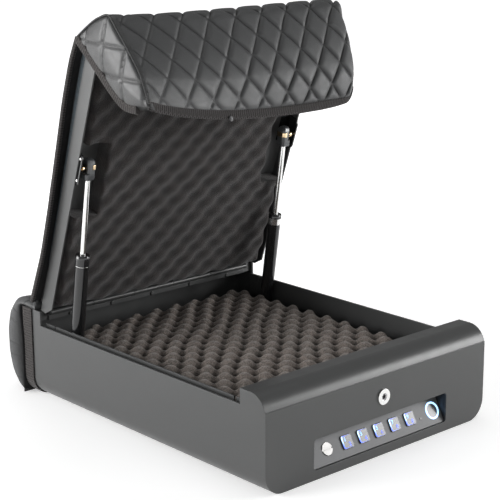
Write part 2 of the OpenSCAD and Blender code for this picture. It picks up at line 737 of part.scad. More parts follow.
module lid_shell() {
  color(paint) on_lid() difference() {
    lid_block(-lid_half, lid_half, lid_u0, lid_u1, -flange_d, 0);
    lid_block(lid_t - lid_half, lid_half - lid_t, lid_u0 - 1, lid_u1 - lid_t, -flange_d - 1, -lid_t);
    lid_outline(-base_w, base_w, [[lid_u0 - 1, -flange_cut_v], [lid_u0, -flange_cut_v],
      [flange_cut_u, -flange_d], [flange_cut_u, -flange_d - 1], [lid_u0 - 1, -flange_d - 1]]);
    for (s = [-1, 1]) translate([s * bolt_span / 2, -lid_u1, knuckle_r - bolt_drop])
      rod_y(bolt_r + 2 * loose_fit, -1, lid_t + 1);
  }
}
bracket_half = 17;
bracket_low = 25;
module upper_brackets() {
  color(dark) on_lid() for (s = [-1, 1]) mirror([s < 0 ? 1 : 0, 0, 0]) {
    lid_block(bracket_in, bracket_in + bracket_t, ball_u - bracket_half, ball_u + bracket_half,
      -bracket_low, -lid_t);
    lid_block(bracket_in, lid_half - lid_t, ball_u - bracket_half, ball_u + bracket_half,
      -lid_t - 2, -lid_t);
  }
}
module bracket_rivets() {
  color(steel) on_lid() for (s = [-1, 1]) mirror([s < 0 ? 1 : 0, 0, 0]) {
    for (du = [-12, 12])
      translate([bracket_in + bracket_t, -ball_u - du, knuckle_r - bracket_low + 5])
        rod_x(1.7, 0, 0.6);
    translate([bracket_in + bracket_t, -ball_u, knuckle_r - ball_v]) rod_x(3, 0, 0.6);
  }
}

function at(points, u) = lookup(u, points);
// Running length along a list of points, one value a point
function run_lengths(p, i = 0, sum = 0) = i >= len(p) ? [] :
  concat([sum], run_lengths(p, i + 1, i + 1 < len(p) ? sum + norm(p[i + 1] - p[i]) : sum));
// Point at a share of a path's length
function along(p, share) =
  let (d = run_lengths(p), s = share * d[len(p) - 1])
  [lookup(s, [for (i = [0 : len(p) - 1]) [d[i], p[i][0]]]),
   lookup(s, [for (i = [0 : len(p) - 1]) [d[i], p[i][1]]])];
// A padded sheet between two paths, its outer face swelling into quilted diamonds. Each cell is a
// quarter of a diamond, cut along its seam; half is half the width and flip turns the faces round.
// The inner face follows its path's own points, and the sides join the two paths.
module quilted_pad(over, under, half, flip) {
  rows = 2 * round(run_lengths(over)[len(over) - 1] / quilt_l);
  columns = 2 * round(2 * half / quilt_w);
  n = (rows + 1) * (columns + 1);
  ends = len(under) - 1;
  way = run_lengths(under) / run_lengths(under)[ends];
  function id(r, c) = r * (columns + 1) + c;
  function low(i, s) = n + 2 * i + s;
  function raised(r, c) = (r + c) % 2 == 1 && r > 0 && r < rows && c > 0 && c < columns;
  function out(r) = let (a = along(over, max(0, r - 0.5) / rows),
    b = along(over, min(rows, r + 0.5) / rows), t = (b - a) / norm(b - a)) [-t[1], t[0]];
  outer = [for (r = [0 : rows], c = [0 : columns])
    let (p = along(over, r / rows) + (raised(r, c) ? quilt_swell : 0) * out(r) * flip)
    [c * 2 * half / columns - half, p[0], p[1]]];
  inner = [for (p = under, s = [-1, 1]) [s * half, p[0], p[1]]];
  skin = [for (r = [0 : rows - 1], c = [0 : columns - 1])
    let (a = id(r, c), b = id(r, c + 1), d = id(r + 1, c), e = id(r + 1, c + 1))
    for (f = (r + c) % 2 == 0 ? [[a, b, e], [a, e, d]] : [[a, b, d], [b, e, d]]) f];
  back = [for (i = [0 : ends - 1]) for (f = [[low(i, 0), low(i + 1, 0), low(i + 1, 1)],
    [low(i, 0), low(i + 1, 1), low(i, 1)]]) f];
  function side(r, i) = r == rows && i == ends ? [] :
    i == ends || (r < rows && (2 * r + 1) / rows <= way[i] + way[i + 1])
      ? concat([[id(r, 0), id(r + 1, 0), low(i, 0)],
        [id(r, columns), low(i, 1), id(r + 1, columns)]], side(r + 1, i))
      : concat([[id(r, 0), low(i + 1, 0), low(i, 0)],
        [id(r, columns), low(i, 1), low(i + 1, 1)]], side(r, i + 1));
  function near(c) = c < columns / 2 ? 0 : 1;
  head = concat([[id(0, columns / 2), low(0, 0), low(0, 1)]],
    [for (c = [0 : columns - 1]) [id(0, c), low(0, near(c)), id(0, c + 1)]]);
  foot = concat([[id(rows, columns / 2), low(ends, 1), low(ends, 0)]],
    [for (c = [0 : columns - 1]) [id(rows, c), id(rows, c + 1), low(ends, near(c))]]);
  faces = concat(skin, back, side(0, 0), head, foot);
  polyhedron(concat(outer, inner), flip > 0 ? faces : [for (f = faces) [f[0], f[2], f[1]]]);
}
// Turns points given along and above the lid into the lid's frame
function lid_points(points) = [for (p = points) [-p[0], knuckle_r + p[1]]];

module cover_lining() {
  low = [for (p = pad_under) [p[0], body_gap]];
  top = [for (i = [len(pad_under) - 1 : -1 : 0]) pad_under[i] - [0, body_gap]];
  color("#1b2430") on_lid() lid_outline(4 - lid_half, lid_half - 4, concat(low, top));
}
module cover_top_pad() {
  color(leather) on_lid() quilted_pad(lid_points(pad_over), lid_points(pad_under), cover_w / 2, -1);
}
module pad_bindings() {
  edge = 1;
  last = len(pad_over) - 2;
  low = [for (i = [0 : last]) [pad_over[i][0], at(pad_under, pad_over[i][0]) + edge]];
  top = [for (i = [last : -1 : 0]) pad_over[i] - [0, edge]];
  color(webbing) on_lid() for (s = [-1, 1]) mirror([s < 0 ? 1 : 0, 0, 0])
    lid_outline(cover_w / 2 + 0.1, cover_w / 2 + 0.1 + binding_t, concat(low, top));
}
gusset_x = cover_w / 2 - gusset_t;
module front_flap() {
  color(leather) on_lid()
    quilted_pad(lid_points(flap_over), lid_points(flap_under), gusset_x - body_gap, -1);
}
module gusset(side) {
  color(leather) on_lid() mirror([side < 0 ? 1 : 0, 0, 0])
    lid_outline(gusset_x, gusset_x + gusset_t, gusset_outline);
}
module left_gusset() { gusset(-1); }
module right_gusset() { gusset(1); }
module flap_hem() {
  color(webbing) on_lid() lid_outline(body_gap - gusset_x, gusset_x - body_gap, hem_outline);
}
snap_x = 8;
module hem_snap() {
  a = hem_outline[0];
  b = hem_outline[1];
  slope = atan2(b[1] - a[1], b[0] - a[0]);
  color(dark) on_lid() translate([snap_x, -(a[0] + b[0]) / 2, knuckle_r + (a[1] + b[1]) / 2])
    rotate([90 - slope, 0, 0]) translate([0, 0, seat_gap]) rotate([-90, 0, 0])
      cylinder(r = 3, h = 0.1);
}
module rear_flap() {
  color(leather) from_front() translate([0, base_d, 0])
    quilted_pad(rear_over, rear_under, base_w / 2 + body_gap, 1);
}
module rear_wraps() {
  color(leather) from_front() translate([0, base_d, 0]) for (s = [-1, 1])
    translate([s * (base_w / 2 + body_gap + 0.1 + 1), 0, 0]) across(2) polygon(wrap_outline);
}

base_shell();
lid_rails();
front_bulkhead();
keypad_housing();
keypad_plate();
fingerprint_ring();
fingerprint_pad();
status_lamp();
lock_barrel();
lock_nut();
keypad_board();
battery_tray();
battery_cells();
latch_motor();
motor_bracket();
floor_foam();
tray_foam();
hinge_base_leaf();
hinge_pin();
hinge_screws();
lower_brackets();
rear_flap();
rear_wraps();
lock_plug();
lock_cam();
service_screw();
key_1();
key_2();
key_3();
key_4();
key_5();
drive_pinion();
latch_bolts();
left_tube();
left_collar();
left_rod();
left_socket();
left_clip();
right_tube();
right_collar();
right_rod();
right_socket();
right_clip();
lid_shell();
hinge_lid_leaf();
lid_foam();
upper_brackets();
bracket_rivets();
cover_lining();
cover_top_pad();
pad_bindings();
front_flap();
left_gusset();
right_gusset();
flap_hem();
hem_snap();
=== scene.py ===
"""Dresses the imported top-opening safe: finishes, soft goods, small fittings, light and camera."""

import json
import logging
import math
from collections.abc import Iterable, Sequence
from dataclasses import dataclass
from enum import Enum

import bmesh
import bpy
import numpy as np
from mathutils import Matrix, Vector
from mathutils.geometry import delaunay_2d_cdt

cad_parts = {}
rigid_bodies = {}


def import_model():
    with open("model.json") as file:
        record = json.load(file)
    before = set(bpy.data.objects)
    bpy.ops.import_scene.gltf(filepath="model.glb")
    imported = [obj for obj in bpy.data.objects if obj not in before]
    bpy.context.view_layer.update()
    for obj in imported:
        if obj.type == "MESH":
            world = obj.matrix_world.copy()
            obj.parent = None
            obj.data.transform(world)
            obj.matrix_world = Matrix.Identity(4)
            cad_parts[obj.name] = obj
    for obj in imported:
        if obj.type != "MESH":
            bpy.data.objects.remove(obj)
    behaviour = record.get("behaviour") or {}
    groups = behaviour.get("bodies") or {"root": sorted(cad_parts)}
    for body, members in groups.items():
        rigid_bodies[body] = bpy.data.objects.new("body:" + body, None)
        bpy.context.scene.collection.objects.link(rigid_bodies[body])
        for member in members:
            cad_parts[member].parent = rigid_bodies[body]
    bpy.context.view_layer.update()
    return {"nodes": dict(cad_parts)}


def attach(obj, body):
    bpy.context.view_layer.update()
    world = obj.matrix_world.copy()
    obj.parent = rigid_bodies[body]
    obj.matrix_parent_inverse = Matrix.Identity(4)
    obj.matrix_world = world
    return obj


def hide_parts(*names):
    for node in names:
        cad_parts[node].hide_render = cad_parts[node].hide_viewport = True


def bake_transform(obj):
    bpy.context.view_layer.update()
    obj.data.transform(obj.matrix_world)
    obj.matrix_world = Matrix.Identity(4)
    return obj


for leftover in list(bpy.data.objects):
    bpy.data.objects.remove(leftover)
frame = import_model()

LOG = logging.getLogger("safe")
MM = 0.001
Outline = Sequence[tuple[float, float]]
Term = float | tuple | bpy.types.NodeSocket


class Side(Enum):
    """A side of the safe, seen from the front."""

    LEFT = -1
    RIGHT = 1

    @property
    def word(self) -> str:
        """The side's name as it stands in node and body names."""
        return self.name.lower()


@dataclass(frozen=True)
class SafeSizes:
    """Sizes that several sub-assemblies share, in millimetres, as the CAD source has them."""

    base_half: float = 150.0
    base_d: float = 375.0
    hinge_y: float = 347.0
    hinge_z: float = 93.0
    knuckle_r: float = 3.0
    lid_open: float = 71.0
    cover_w: float = 312.0
    pad_t: float = 8.5
    flap_half: float = 155.0
    strut_x: float = 133.0
    ball_y: float = 310.0
    ball_z: float = 40.0
    strut_l: float = 217.54
    strut_lean: float = 8.742
    tube_l: float = 126.8
    plate_y: float = 1.8
    plate_z: float = 9.8
    plate_tilt: float = 28.8


SIZES = SafeSizes()


class Place:
    """A set of axes on the object, in millimetres, and where it stands in the row frame."""

    def __init__(self, origin: Sequence[float], turn_x: float = 0.0) -> None:
        """Sets the axes.

        Args:
            origin: The origin in the row frame, in millimetres.
            turn_x: Turn about the X axis, in degrees.
        """
        self.matrix = Matrix.Translation(Vector(origin) * MM) @ Matrix.Rotation(
            math.radians(turn_x), 4, "X") @ Matrix.Scale(MM, 4)

    def points(self, local: np.ndarray) -> np.ndarray:
        """Row-frame metres of an array of local points."""
        a = np.array(self.matrix)
        return np.asarray(local, float) @ a[:3, :3].T + a[:3, 3]

    def point(self, x: float, y: float, z: float) -> Vector:
        """Row-frame metres of one local point."""
        return self.matrix @ Vector((x, y, z))


class LidPlace(Place):
    """Axes of the open lid: x across, u along it from the hinge, v above its top face."""

    def __init__(self) -> None:
        """Sets the axes from the hinge and the opening angle."""
        super().__init__((0, SIZES.hinge_y - SIZES.base_d / 2, SIZES.hinge_z), -SIZES.lid_open)

    def points(self, local: np.ndarray) -> np.ndarray:
        """Row-frame metres of an array of (x, u, v) points."""
        p = np.asarray(local, float)
        return super().points(np.stack([p[:, 0], -p[:, 1], p[:, 2] + SIZES.knuckle_r], 1))

    def point(self, x: float, u: float, v: float) -> Vector:
        """Row-frame metres of one (x, u, v) point."""
        return Vector(self.points(np.array([[x, u, v]]))[0])


BASE = Place((0, -SIZES.base_d / 2, 0))
REAR = Place((0, SIZES.base_d / 2, 0))
LID = LidPlace()
PLATE = Place((0, SIZES.plate_y - SIZES.base_d / 2, SIZES.plate_z), 90 - SIZES.plate_tilt)


def strut_place(side: Side) -> Place:
    """Axes of a gas strut: the origin at its lower ball, z up the strut."""
    origin = (side.value * SIZES.strut_x, SIZES.ball_y - SIZES.base_d / 2, SIZES.ball_z)
    return Place(origin, SIZES.strut_lean)


@dataclass(frozen=True)
class FlapSag:
    """How the front flap of the open cover sags and is drawn in towards its right end."""

    turn: tuple[tuple[float, float], ...] = ((0.12, 0.0), (0.35, 9.0), (1.0, 15.5))
    inward: tuple[tuple[float, float], ...] = (
        (0.12, 0.0), (0.27, 5.0), (0.44, 13.0), (0.55, 14.0), (0.8, 20.5), (1.0, 27.0))
    pivot: tuple[float, float] = (305.2, 4.4)
    top: float = 9.0
    depth: float = 120.6

    def __call__(self, points: np.ndarray) -> np.ndarray:
        """Moves points of the flat-hanging flap to where they sag.

        Args:
            points: The flap's (x, u, v) points.

        Returns:
            The moved points.
        """
        x, u, v = np.asarray(points, float).T
        share = np.maximum(x / SIZES.cover_w + 0.5, 0)
        depth = (self.top - v) / self.depth
        turn = np.radians(np.interp(depth, *zip(*self.turn))) * (1 - (1 - share) ** 4)
        du, dv = u - self.pivot[0], v - self.pivot[1]
        return np.column_stack([
            x - np.interp(depth, *zip(*self.inward)) * share ** 2,
            self.pivot[0] + du * np.cos(turn) + dv * np.sin(turn),
            self.pivot[1] + dv * np.cos(turn) - du * np.sin(turn)])


class FlapPlace(LidPlace):
    """The lid's axes, with the front flap's sag put on every point."""

    sag = FlapSag()

    def points(self, local: np.ndarray) -> np.ndarray:
        """Row-frame metres of an array of the flat-hanging flap's (x, u, v) points."""
        return super().points(self.sag(local))


FLAP = FlapPlace()


# ---------------------------------------------------------------- node graphs and finishes


class Graph:
    """A material's nodes, with short calls for what the finishes share."""

    def __init__(self, name: str, world: bpy.types.World | None = None) -> None:
        """Starts an empty material with a Principled surface, or empties a world.

        Args:
            name: The material's name.
            world: The world to work on instead of a material.
        """
        if world is not None:
            world.use_nodes = True
            self.tree = world.node_tree
            self.tree.nodes.clear()
            return
        self.material = bpy.data.materials.new(name)
        self.material.use_nodes = True
        self.tree = self.material.node_tree
        self.tree.nodes.clear()
        self.surface = self.add("ShaderNodeBsdfPrincipled")
        output = self.add("ShaderNodeOutputMaterial")
        self.tree.links.new(self.surface.outputs[0], output.inputs[0])

    def add(self, kind: str, **settings: object) -> bpy.types.Node:
        """Adds a node and sets its properties.

        Args:
            kind: The node's type.
            **settings: Its properties.

        Returns:
            The node.
        """
        node = self.tree.nodes.new(kind)
        for key, value in settings.items():
            setattr(node, key, value)
        return node

    def feed(self, slot: bpy.types.NodeSocket, term: Term) -> None:
        """Links a socket to an input, or sets the input's value.

        Args:
            slot: The input.
            term: The socket or the value.
        """
        if isinstance(term, bpy.types.NodeSocket):
            self.tree.links.new(term, slot)
        else:
            slot.default_value = term

    def calc(self, operation: str, *terms: Term) -> bpy.types.NodeSocket:
        """A Math node's result.

        Args:
            operation: What it does.
            *terms: Its inputs.

        Returns:
            The result.
        """
        node = self.add("ShaderNodeMath", operation=operation)
        for slot, term in zip(node.inputs, terms):
            self.feed(slot, term)
        return node.outputs[0]

    def plus(self, *terms: Term) -> bpy.types.NodeSocket:
        """The sum of two terms."""
        return self.calc("ADD", *terms)

    def times(self, *terms: Term) -> bpy.types.NodeSocket:
        """The product of two terms."""
        return self.calc("MULTIPLY", *terms)

    def millimetres(self, stretch: tuple[float, float, float] = (1, 1, 1)) -> bpy.types.NodeSocket:
        """The place on the object in millimetres, each axis times a stretch.

        Args:
            stretch: Factors on the three axes.

        Returns:
            The place.
        """
        node = self.add("ShaderNodeVectorMath", operation="MULTIPLY")
        self.feed(node.inputs[0], self.add("ShaderNodeTexCoord").outputs["Object"])
        self.feed(node.inputs[1], tuple(s / MM for s in stretch))
        return node.outputs[0]

    def attribute(self, name: str) -> tuple[bpy.types.NodeSocket, ...]:
        """The three parts of a vector attribute of the mesh.

        Args:
            name: The attribute's name.

        Returns:
            The parts.
        """
        node = self.add("ShaderNodeAttribute", attribute_name=name)
        split = self.add("ShaderNodeSeparateXYZ")
        self.feed(split.inputs[0], node.outputs["Vector"])
        return tuple(split.outputs)

    def noise(self, size: float, detail: float = 3.0,
              stretch: tuple[float, float, float] = (1, 1, 1)) -> bpy.types.NodeSocket:
        """Noise from 0 to 1.

        Args:
            size: The width of its spots, in millimetres.
            detail: How many finer layers it has.
            stretch: Factors on the three axes.

        Returns:
            The noise.
        """
        node = self.add("ShaderNodeTexNoise")
        self.feed(node.inputs["Vector"], self.millimetres(stretch))
        node.inputs["Scale"].default_value = 1 / size
        node.inputs["Detail"].default_value = detail
        return node.outputs[0]

    def cells(self, size: float, feature: str = "F1") -> bpy.types.NodeSocket:
        """Distances in a pattern of cells.

        Args:
            size: The cells' width, in millimetres.
            feature: What is measured.

        Returns:
            The distances.
        """
        node = self.add("ShaderNodeTexVoronoi", feature=feature)
        self.feed(node.inputs["Vector"], self.millimetres())
        node.inputs["Scale"].default_value = 1 / size
        return node.outputs["Distance"]

    def span(self, term: Term, low: float, high: float, start: float = 0.0,
             end: float = 1.0) -> bpy.types.NodeSocket:
        """Maps one range to another, smoothly and clamped.

        Args:
            term: The value.
            low: The first range's start.
            high: The first range's end.
            start: The second range's start.
            end: The second range's end.

        Returns:
            The mapped value.
        """
        node = self.add("ShaderNodeMapRange", interpolation_type="SMOOTHSTEP")
        for slot, value in zip(node.inputs, (term, low, high, start, end)):
            self.feed(slot, value)
        return node.outputs[0]

    def mix(self, share: Term, first: Term, second: Term) -> bpy.types.NodeSocket:
        """A mix of two colours.

        Args:
            share: The second colour's share.
            first: The first colour.
            second: The second colour.

        Returns:
            The mixed colour.
        """
        node = self.add("ShaderNodeMix", data_type="RGBA")
        for slot, term in zip((0, 6, 7), (share, first, second)):
            self.feed(node.inputs[slot], rgba(term) if isinstance(term, tuple) else term)
        return node.outputs[2]

    def relief(self, height: Term, depth: float, strength: float = 1.0,
               under: Term | None = None) -> bpy.types.NodeSocket:
        """A bump.

        Args:
            height: The relief from 0 to 1.
            depth: The relief's depth, in millimetres.
            strength: How much of it shows.
            under: A normal under it.

        Returns:
            The normal.
        """
        node = self.add("ShaderNodeBump")
        node.inputs["Strength"].default_value = strength
        node.inputs["Distance"].default_value = depth * MM
        self.feed(node.inputs["Height"], height)
        if under is not None:
            self.feed(node.inputs["Normal"], under)
        return node.outputs[0]

    def soft_edges(self, radius: float) -> bpy.types.NodeSocket:
        """Normals that round the mesh's sharp edges over radius millimetres.

        Args:
            radius: How far the rounding reaches, in millimetres.

        Returns:
            The normal.
        """
        node = self.add("ShaderNodeBevel", samples=4)
        node.inputs["Radius"].default_value = radius * MM
        return node.outputs[0]

    def dress(self, **values: Term) -> bpy.types.Material:
        """Feeds the surface's sockets.

        Args:
            **values: What to feed, by the socket's name in lower case with underscores.

        Returns:
            The material.
        """
        for slot in self.surface.inputs:
            key = slot.name.lower().replace(" ", "_")
            if key in values:
                term = values[key]
                self.feed(slot, rgba(term) if slot.type == "RGBA" and isinstance(term, tuple)
                          else term)
        return self.material


def rgba(colour: tuple) -> tuple:
    """A colour with its alpha."""
    return (*colour[:3], 1.0)


def tone(colour: Sequence[float], share: float) -> tuple[float, float, float]:
    """A colour made lighter or darker."""
    return tuple(min(1.0, c * share) for c in colour)


@dataclass(frozen=True)
class PowderCoat:
    """Satin powder coat on sheet steel: a fine orange peel, faint clouds and softened edges."""

    name: str
    colour: tuple[float, float, float]
    roughness: float = 0.42
    edge: float = 0.5

    def material(self) -> bpy.types.Material:
        """Builds the coat's nodes.

        Returns:
            The material.
        """
        g = Graph(self.name)
        cloud = g.noise(70, 2)
        grit = g.noise(0.55, 2)
        colour = g.mix(cloud, tone(self.colour, 0.93), tone(self.colour, 1.07))
        colour = g.mix(g.span(grit, 0.35, 0.75, 0, 0.22), colour, tone(self.colour, 1.5))
        rough = g.plus(g.span(g.noise(14, 3), 0.3, 0.7, -0.025, 0.035), self.roughness)
        normal = g.relief(grit, 0.035, 0.55, g.soft_edges(self.edge))
        return g.dress(base_color=colour, roughness=rough, specular_ior_level=0.5, normal=normal)


@dataclass(frozen=True)
class Metal:
    """Bare or plated metal with drawn streaks and faint smudges."""

    name: str
    colour: tuple[float, float, float]
    roughness: float
    streak: tuple[float, float, float] = (1, 1, 1)
    edge: float = 0.2

    def material(self) -> bpy.types.Material:
        """Builds the metal's nodes.

        Returns:
            The material.
        """
        g = Graph(self.name)
        streaks = g.noise(0.4, 2, self.streak)
        smudge = g.noise(6, 3)
        colour = g.mix(smudge, tone(self.colour, 0.88), tone(self.colour, 1.05))
        rough = g.plus(g.span(smudge, 0.3, 0.8, 0, 0.07), self.roughness)
        normal = g.relief(streaks, 0.012, 0.35, g.soft_edges(self.edge))
        return g.dress(base_color=colour, metallic=1.0, roughness=rough, normal=normal)


@dataclass(frozen=True)
class Moulded:
    """Moulded plastic or lacquer with a fine grain."""

    name: str
    colour: tuple[float, float, float]
    roughness: float
    grain: float = 0.02
    coat: float = 0.0
    edge: float = 0.25

    def material(self) -> bpy.types.Material:
        """Builds the plastic's nodes.

        Returns:
            The material.
        """
        g = Graph(self.name)
        spots = g.noise(0.3, 2)
        colour = g.mix(g.noise(9, 2), tone(self.colour, 0.92), tone(self.colour, 1.08))
        rough = g.plus(g.span(spots, 0.3, 0.7, -0.03, 0.04), self.roughness)
        normal = g.relief(spots, self.grain, 0.5, g.soft_edges(self.edge))
        return g.dress(base_color=colour, roughness=rough, normal=normal,
                       coat_weight=self.coat, coat_roughness=0.08)


@dataclass(frozen=True)
class OpenCellFoam:
    """Open-cell foam: speckled cut skin, small pores, and painted shade that darkens its hollows.
    """

    name: str
    colour: tuple[float, float, float]
    hollow: tuple[float, float, float]
    speck: float = 0.5

    def material(self) -> bpy.types.Material:
        """Builds the foam's nodes; the mesh's crate attribute holds how deep a point lies, and deep
        points get painted shade.

        Returns:
            The material.
        """
        g = Graph(self.name)
        deep = g.attribute("crate")[0]
        pores = g.cells(0.9)
        speckle = g.noise(1.5, 4)
        warm = g.mix(g.noise(40, 3), self.colour, (self.colour[0] * 1.12, self.colour[1] * 0.98,
                                                   self.colour[2] * 0.93))
        colour = g.mix(g.span(speckle, 0.36, 0.66), tone(self.colour, 1 - self.speck), warm)
        colour = g.mix(g.span(g.noise(0.8, 2), 0.62, 0.74, 0, 0.5), colour,
                       tone(self.colour, 1.9))
        # Painted shade: deep points of the crate are mixed towards the hollow colour.
        colour = g.mix(g.span(deep, 0.2, 0.85, 0, 0.95), colour, self.hollow)
        height = g.plus(pores, g.times(speckle, 1.4))
        return g.dress(base_color=colour, roughness=1.0, specular_ior_level=0.12,
                       sheen_weight=0.25, sheen_roughness=0.6,
                       normal=g.relief(height, 0.5, 0.8))


@dataclass(frozen=True)
class Lattice:
    """Quilting seams: a crossing's place, and the steps along the two sides of a patch."""

    cross: tuple[float, float]
    side_p: tuple[float, float]
    side_q: tuple[float, float]

    @classmethod
    def diamond(cls, width: float, length: float, x: float, s: float) -> "Lattice":
        """Upright diamonds of a width and a length with a crossing at (x, s)."""
        return cls((x, s), (width / 2, length / 2), (width / 2, -length / 2))

    @property
    def turned_area(self) -> float:
        """Area of a patch, negative where the second side turns to the right of the first."""
        return self.side_p[0] * self.side_q[1] - self.side_p[1] * self.side_q[0]

    @property
    def area(self) -> float:
        """Area of a patch."""
        return abs(self.turned_area)

    @property
    def sides(self) -> tuple[float, float]:
        """Lengths of the two sides of a patch."""
        return math.hypot(*self.side_p), math.hypot(*self.side_q)

    def place(self, x: np.ndarray, s: np.ndarray) -> tuple[np.ndarray, np.ndarray]:
        """How many patches from the crossing points lie.

        Args:
            x: Their places across the sheet.
            s: Their places along it.

        Returns:
            The patches along the first side and along the second.
        """
        dx, ds = x - self.cross[0], s - self.cross[1]
        return ((dx * self.side_q[1] - ds * self.side_q[0]) / self.turned_area,
                (ds * self.side_p[0] - dx * self.side_p[1]) / self.turned_area)

    def cushion(self, p: np.ndarray, q: np.ndarray, flank: float) -> np.ndarray:
        """Height of the quilting from 0 on its seams to 1 in a patch's middle.

        Args:
            p: Lattice places along the first side.
            q: Lattice places along the second side.
            flank: How far the steep flank beside a seam reaches, in millimetres.

        Returns:
            The heights.
        """
        rise = np.ones_like(p)
        for t, side in ((p, self.sides[1]), (q, self.sides[0])):
            away = np.abs(t - np.round(t)) * self.area / side
            rise = rise * (1 - (1 - np.clip(away / flank, 0, 1)) ** 2)
        return 0.72 * rise + 0.28 * np.sqrt(np.abs(np.sin(np.pi * p) * np.sin(np.pi * q)))

    def mesh_points(self, half: float, total: float, shares: Sequence[float],
                    margin: float) -> np.ndarray:
        """Points on and between the seams inside a sheet.

        Args:
            half: Half the sheet's width.
            total: Its length.
            shares: The places between two seams, from 0 to 1.
            margin: How far the points stay from the sheet's edge.

        Returns:
            The (x, s) points.
        """
        rim = np.array([(x, s) for x in (-half, half) for s in (0.0, total)])
        limits = [(math.floor(t.min()), math.ceil(t.max())) for t in self.place(*rim.T)]
        ps, qs = (np.add.outer(np.arange(low, high + 1), shares).ravel() for low, high in limits)
        grid_p, grid_q = (g.ravel() for g in np.meshgrid(ps, qs))
        x = self.cross[0] + grid_p * self.side_p[0] + grid_q * self.side_q[0]
        s = self.cross[1] + grid_p * self.side_p[1] + grid_q * self.side_q[1]
        keep = (np.abs(x) < half - margin) & (s > margin) & (s < total - margin)
        return np.column_stack([x, s])[keep]


@dataclass(frozen=True)
class QuiltedLeather:
    """Soft black leather, sewn in diamonds with a dark thread."""

    name: str
    colour: tuple[float, float, float]
    lattice: Lattice
    roughness: float = 0.44
    gloss: float = 0.38
    stitch: float = 3.4
    grain: float = 0.05

    def material(self) -> bpy.types.Material:
        """Builds the leather's nodes; the mesh's quilt attribute holds the lattice place.

        Returns:
            The material.
        """
        g = Graph(self.name)
        p, q, sewn = g.attribute("quilt")
        long_p, long_q = self.lattice.sides
        away = [g.times(g.calc("ABSOLUTE", g.calc("SUBTRACT", t, g.calc("ROUND", t))),
                       self.lattice.area / side) for t, side in ((p, long_q), (q, long_p))]
        dashes = [g.calc("FRACT", g.times(t, side / self.stitch))
                  for t, side in ((q, long_q), (p, long_p))]
        threads = [g.times(g.span(d, 0.3, 0.6, 1, 0), g.span(s, 0.22, 0.34))
                   for d, s in zip(away, dashes)]
        thread = g.times(g.calc("MAXIMUM", *threads), sewn)
        seam = g.times(g.span(g.calc("MINIMUM", *away), 0.3, 1.7, 1, 0), sewn)
        pebble = g.cells(0.85, "DISTANCE_TO_EDGE")
        crease = g.span(pebble, 0.0, 0.18)
        colour = g.mix(g.noise(55, 3), tone(self.colour, 0.9), tone(self.colour, 1.1))
        # Painted shade: the leather is darkened in a band along the seams' grooves.
        colour = g.mix(g.times(seam, 0.6), colour, tone(self.colour, 0.25))
        colour = g.mix(g.times(thread, 0.7), colour, tone(self.colour, 0.45))
        colour = g.mix(sewn, (0.006, 0.006, 0.0065), colour)
        rough = g.plus(g.span(g.noise(5, 3), 0.3, 0.7, -0.05, 0.06), self.roughness)
        height = g.plus(g.times(crease, self.grain), g.plus(
            g.times(g.noise(3.2, 3), 0.08), g.times(thread, 0.45)))
        rough = g.plus(rough, g.calc("SUBTRACT", 0.4, g.times(sewn, 0.4)))
        return g.dress(base_color=colour, roughness=rough, specular_ior_level=self.gloss,
                       normal=g.relief(height, 1.0, 0.8))


@dataclass(frozen=True)
class Webbing:
    """Ribbed woven tape, in the mesh's weave attribute: along, across and distance to the seam."""

    name: str
    colour: tuple[float, float, float]
    rib: float = 1.5

    def material(self) -> bpy.types.Material:
        """Builds the tape's nodes.

        Returns:
            The material.
        """
        g = Graph(self.name)
        along, across, sewn = g.attribute("weave")
        beat = g.calc("DIVIDE", along, self.rib)
        rib = g.calc("ABSOLUTE", g.calc("SINE", g.times(beat, math.pi)))
        swing = g.calc("PINGPONG", along, self.rib)
        zigzag = g.calc("ABSOLUTE", g.calc("SUBTRACT", g.plus(sewn, self.rib / 2), swing))
        thread = g.span(zigzag, 0.35, 0.75, 1, 0)
        fuzz = g.noise(0.6, 3)
        colour = g.mix(rib, tone(self.colour, 0.3), tone(self.colour, 1.5))
        colour = g.mix(g.span(fuzz, 0.52, 0.72, 0, 0.55), colour, tone(self.colour, 3.0))
        colour = g.mix(g.times(thread, 0.6), colour, tone(self.colour, 2.6))
        height = g.plus(rib, g.plus(fuzz, thread))
        return g.dress(base_color=colour, roughness=0.85, specular_ior_level=0.25,
                       sheen_weight=0.2, sheen_roughness=0.5, normal=g.relief(height, 0.4, 0.9))


@dataclass(frozen=True)
class LiningCloth:
    """Thin dark woven lining with a blue cast."""

    name: str
    colour: tuple[float, float, float]

    def material(self) -> bpy.types.Material:
        """Builds the cloth's nodes.

        Returns:
            The material.
        """
        g = Graph(self.name)
        warp = g.noise(0.5, 1, (0.15, 1, 1))
        weft = g.noise(0.5, 1, (1, 0.15, 0.15))
        threads = g.plus(warp, weft)
        colour = g.mix(g.span(threads, 0.7, 1.3), tone(self.colour, 0.6), tone(self.colour, 1.4))
        return g.dress(base_color=colour, roughness=0.7, sheen_weight=0.3, sheen_roughness=0.4,
                       normal=g.relief(threads, 0.15, 0.7))


@dataclass(frozen=True)
class LitPlastic:
    """Translucent plastic lit from behind, brighter where the mesh's glow attribute is high."""

    name: str
    colour: tuple[float, float, float]
    strength: float
    faint: float = 1.0

    def material(self) -> bpy.types.Material:
        """Builds the lit plastic's nodes.

        Returns:
            The material.
        """
        g = Graph(self.name)
        patch = g.span(g.noise(1.6, 2), 0.25, 0.75, 0.75, 1.1)
        light = g.times(patch, self.strength)
        tint: Term = self.colour
        if self.faint < 1:
            glow = g.attribute("glow")[0]
            light = g.times(light, g.calc("MAXIMUM", glow, self.faint))
            tint = g.mix(g.span(glow, 0.62, 0.9), self.colour, (0.55, 0.85, 1.0))
        return g.dress(base_color=tone(self.colour, 0.5), roughness=0.25,
                       emission_color=tint, emission_strength=light)


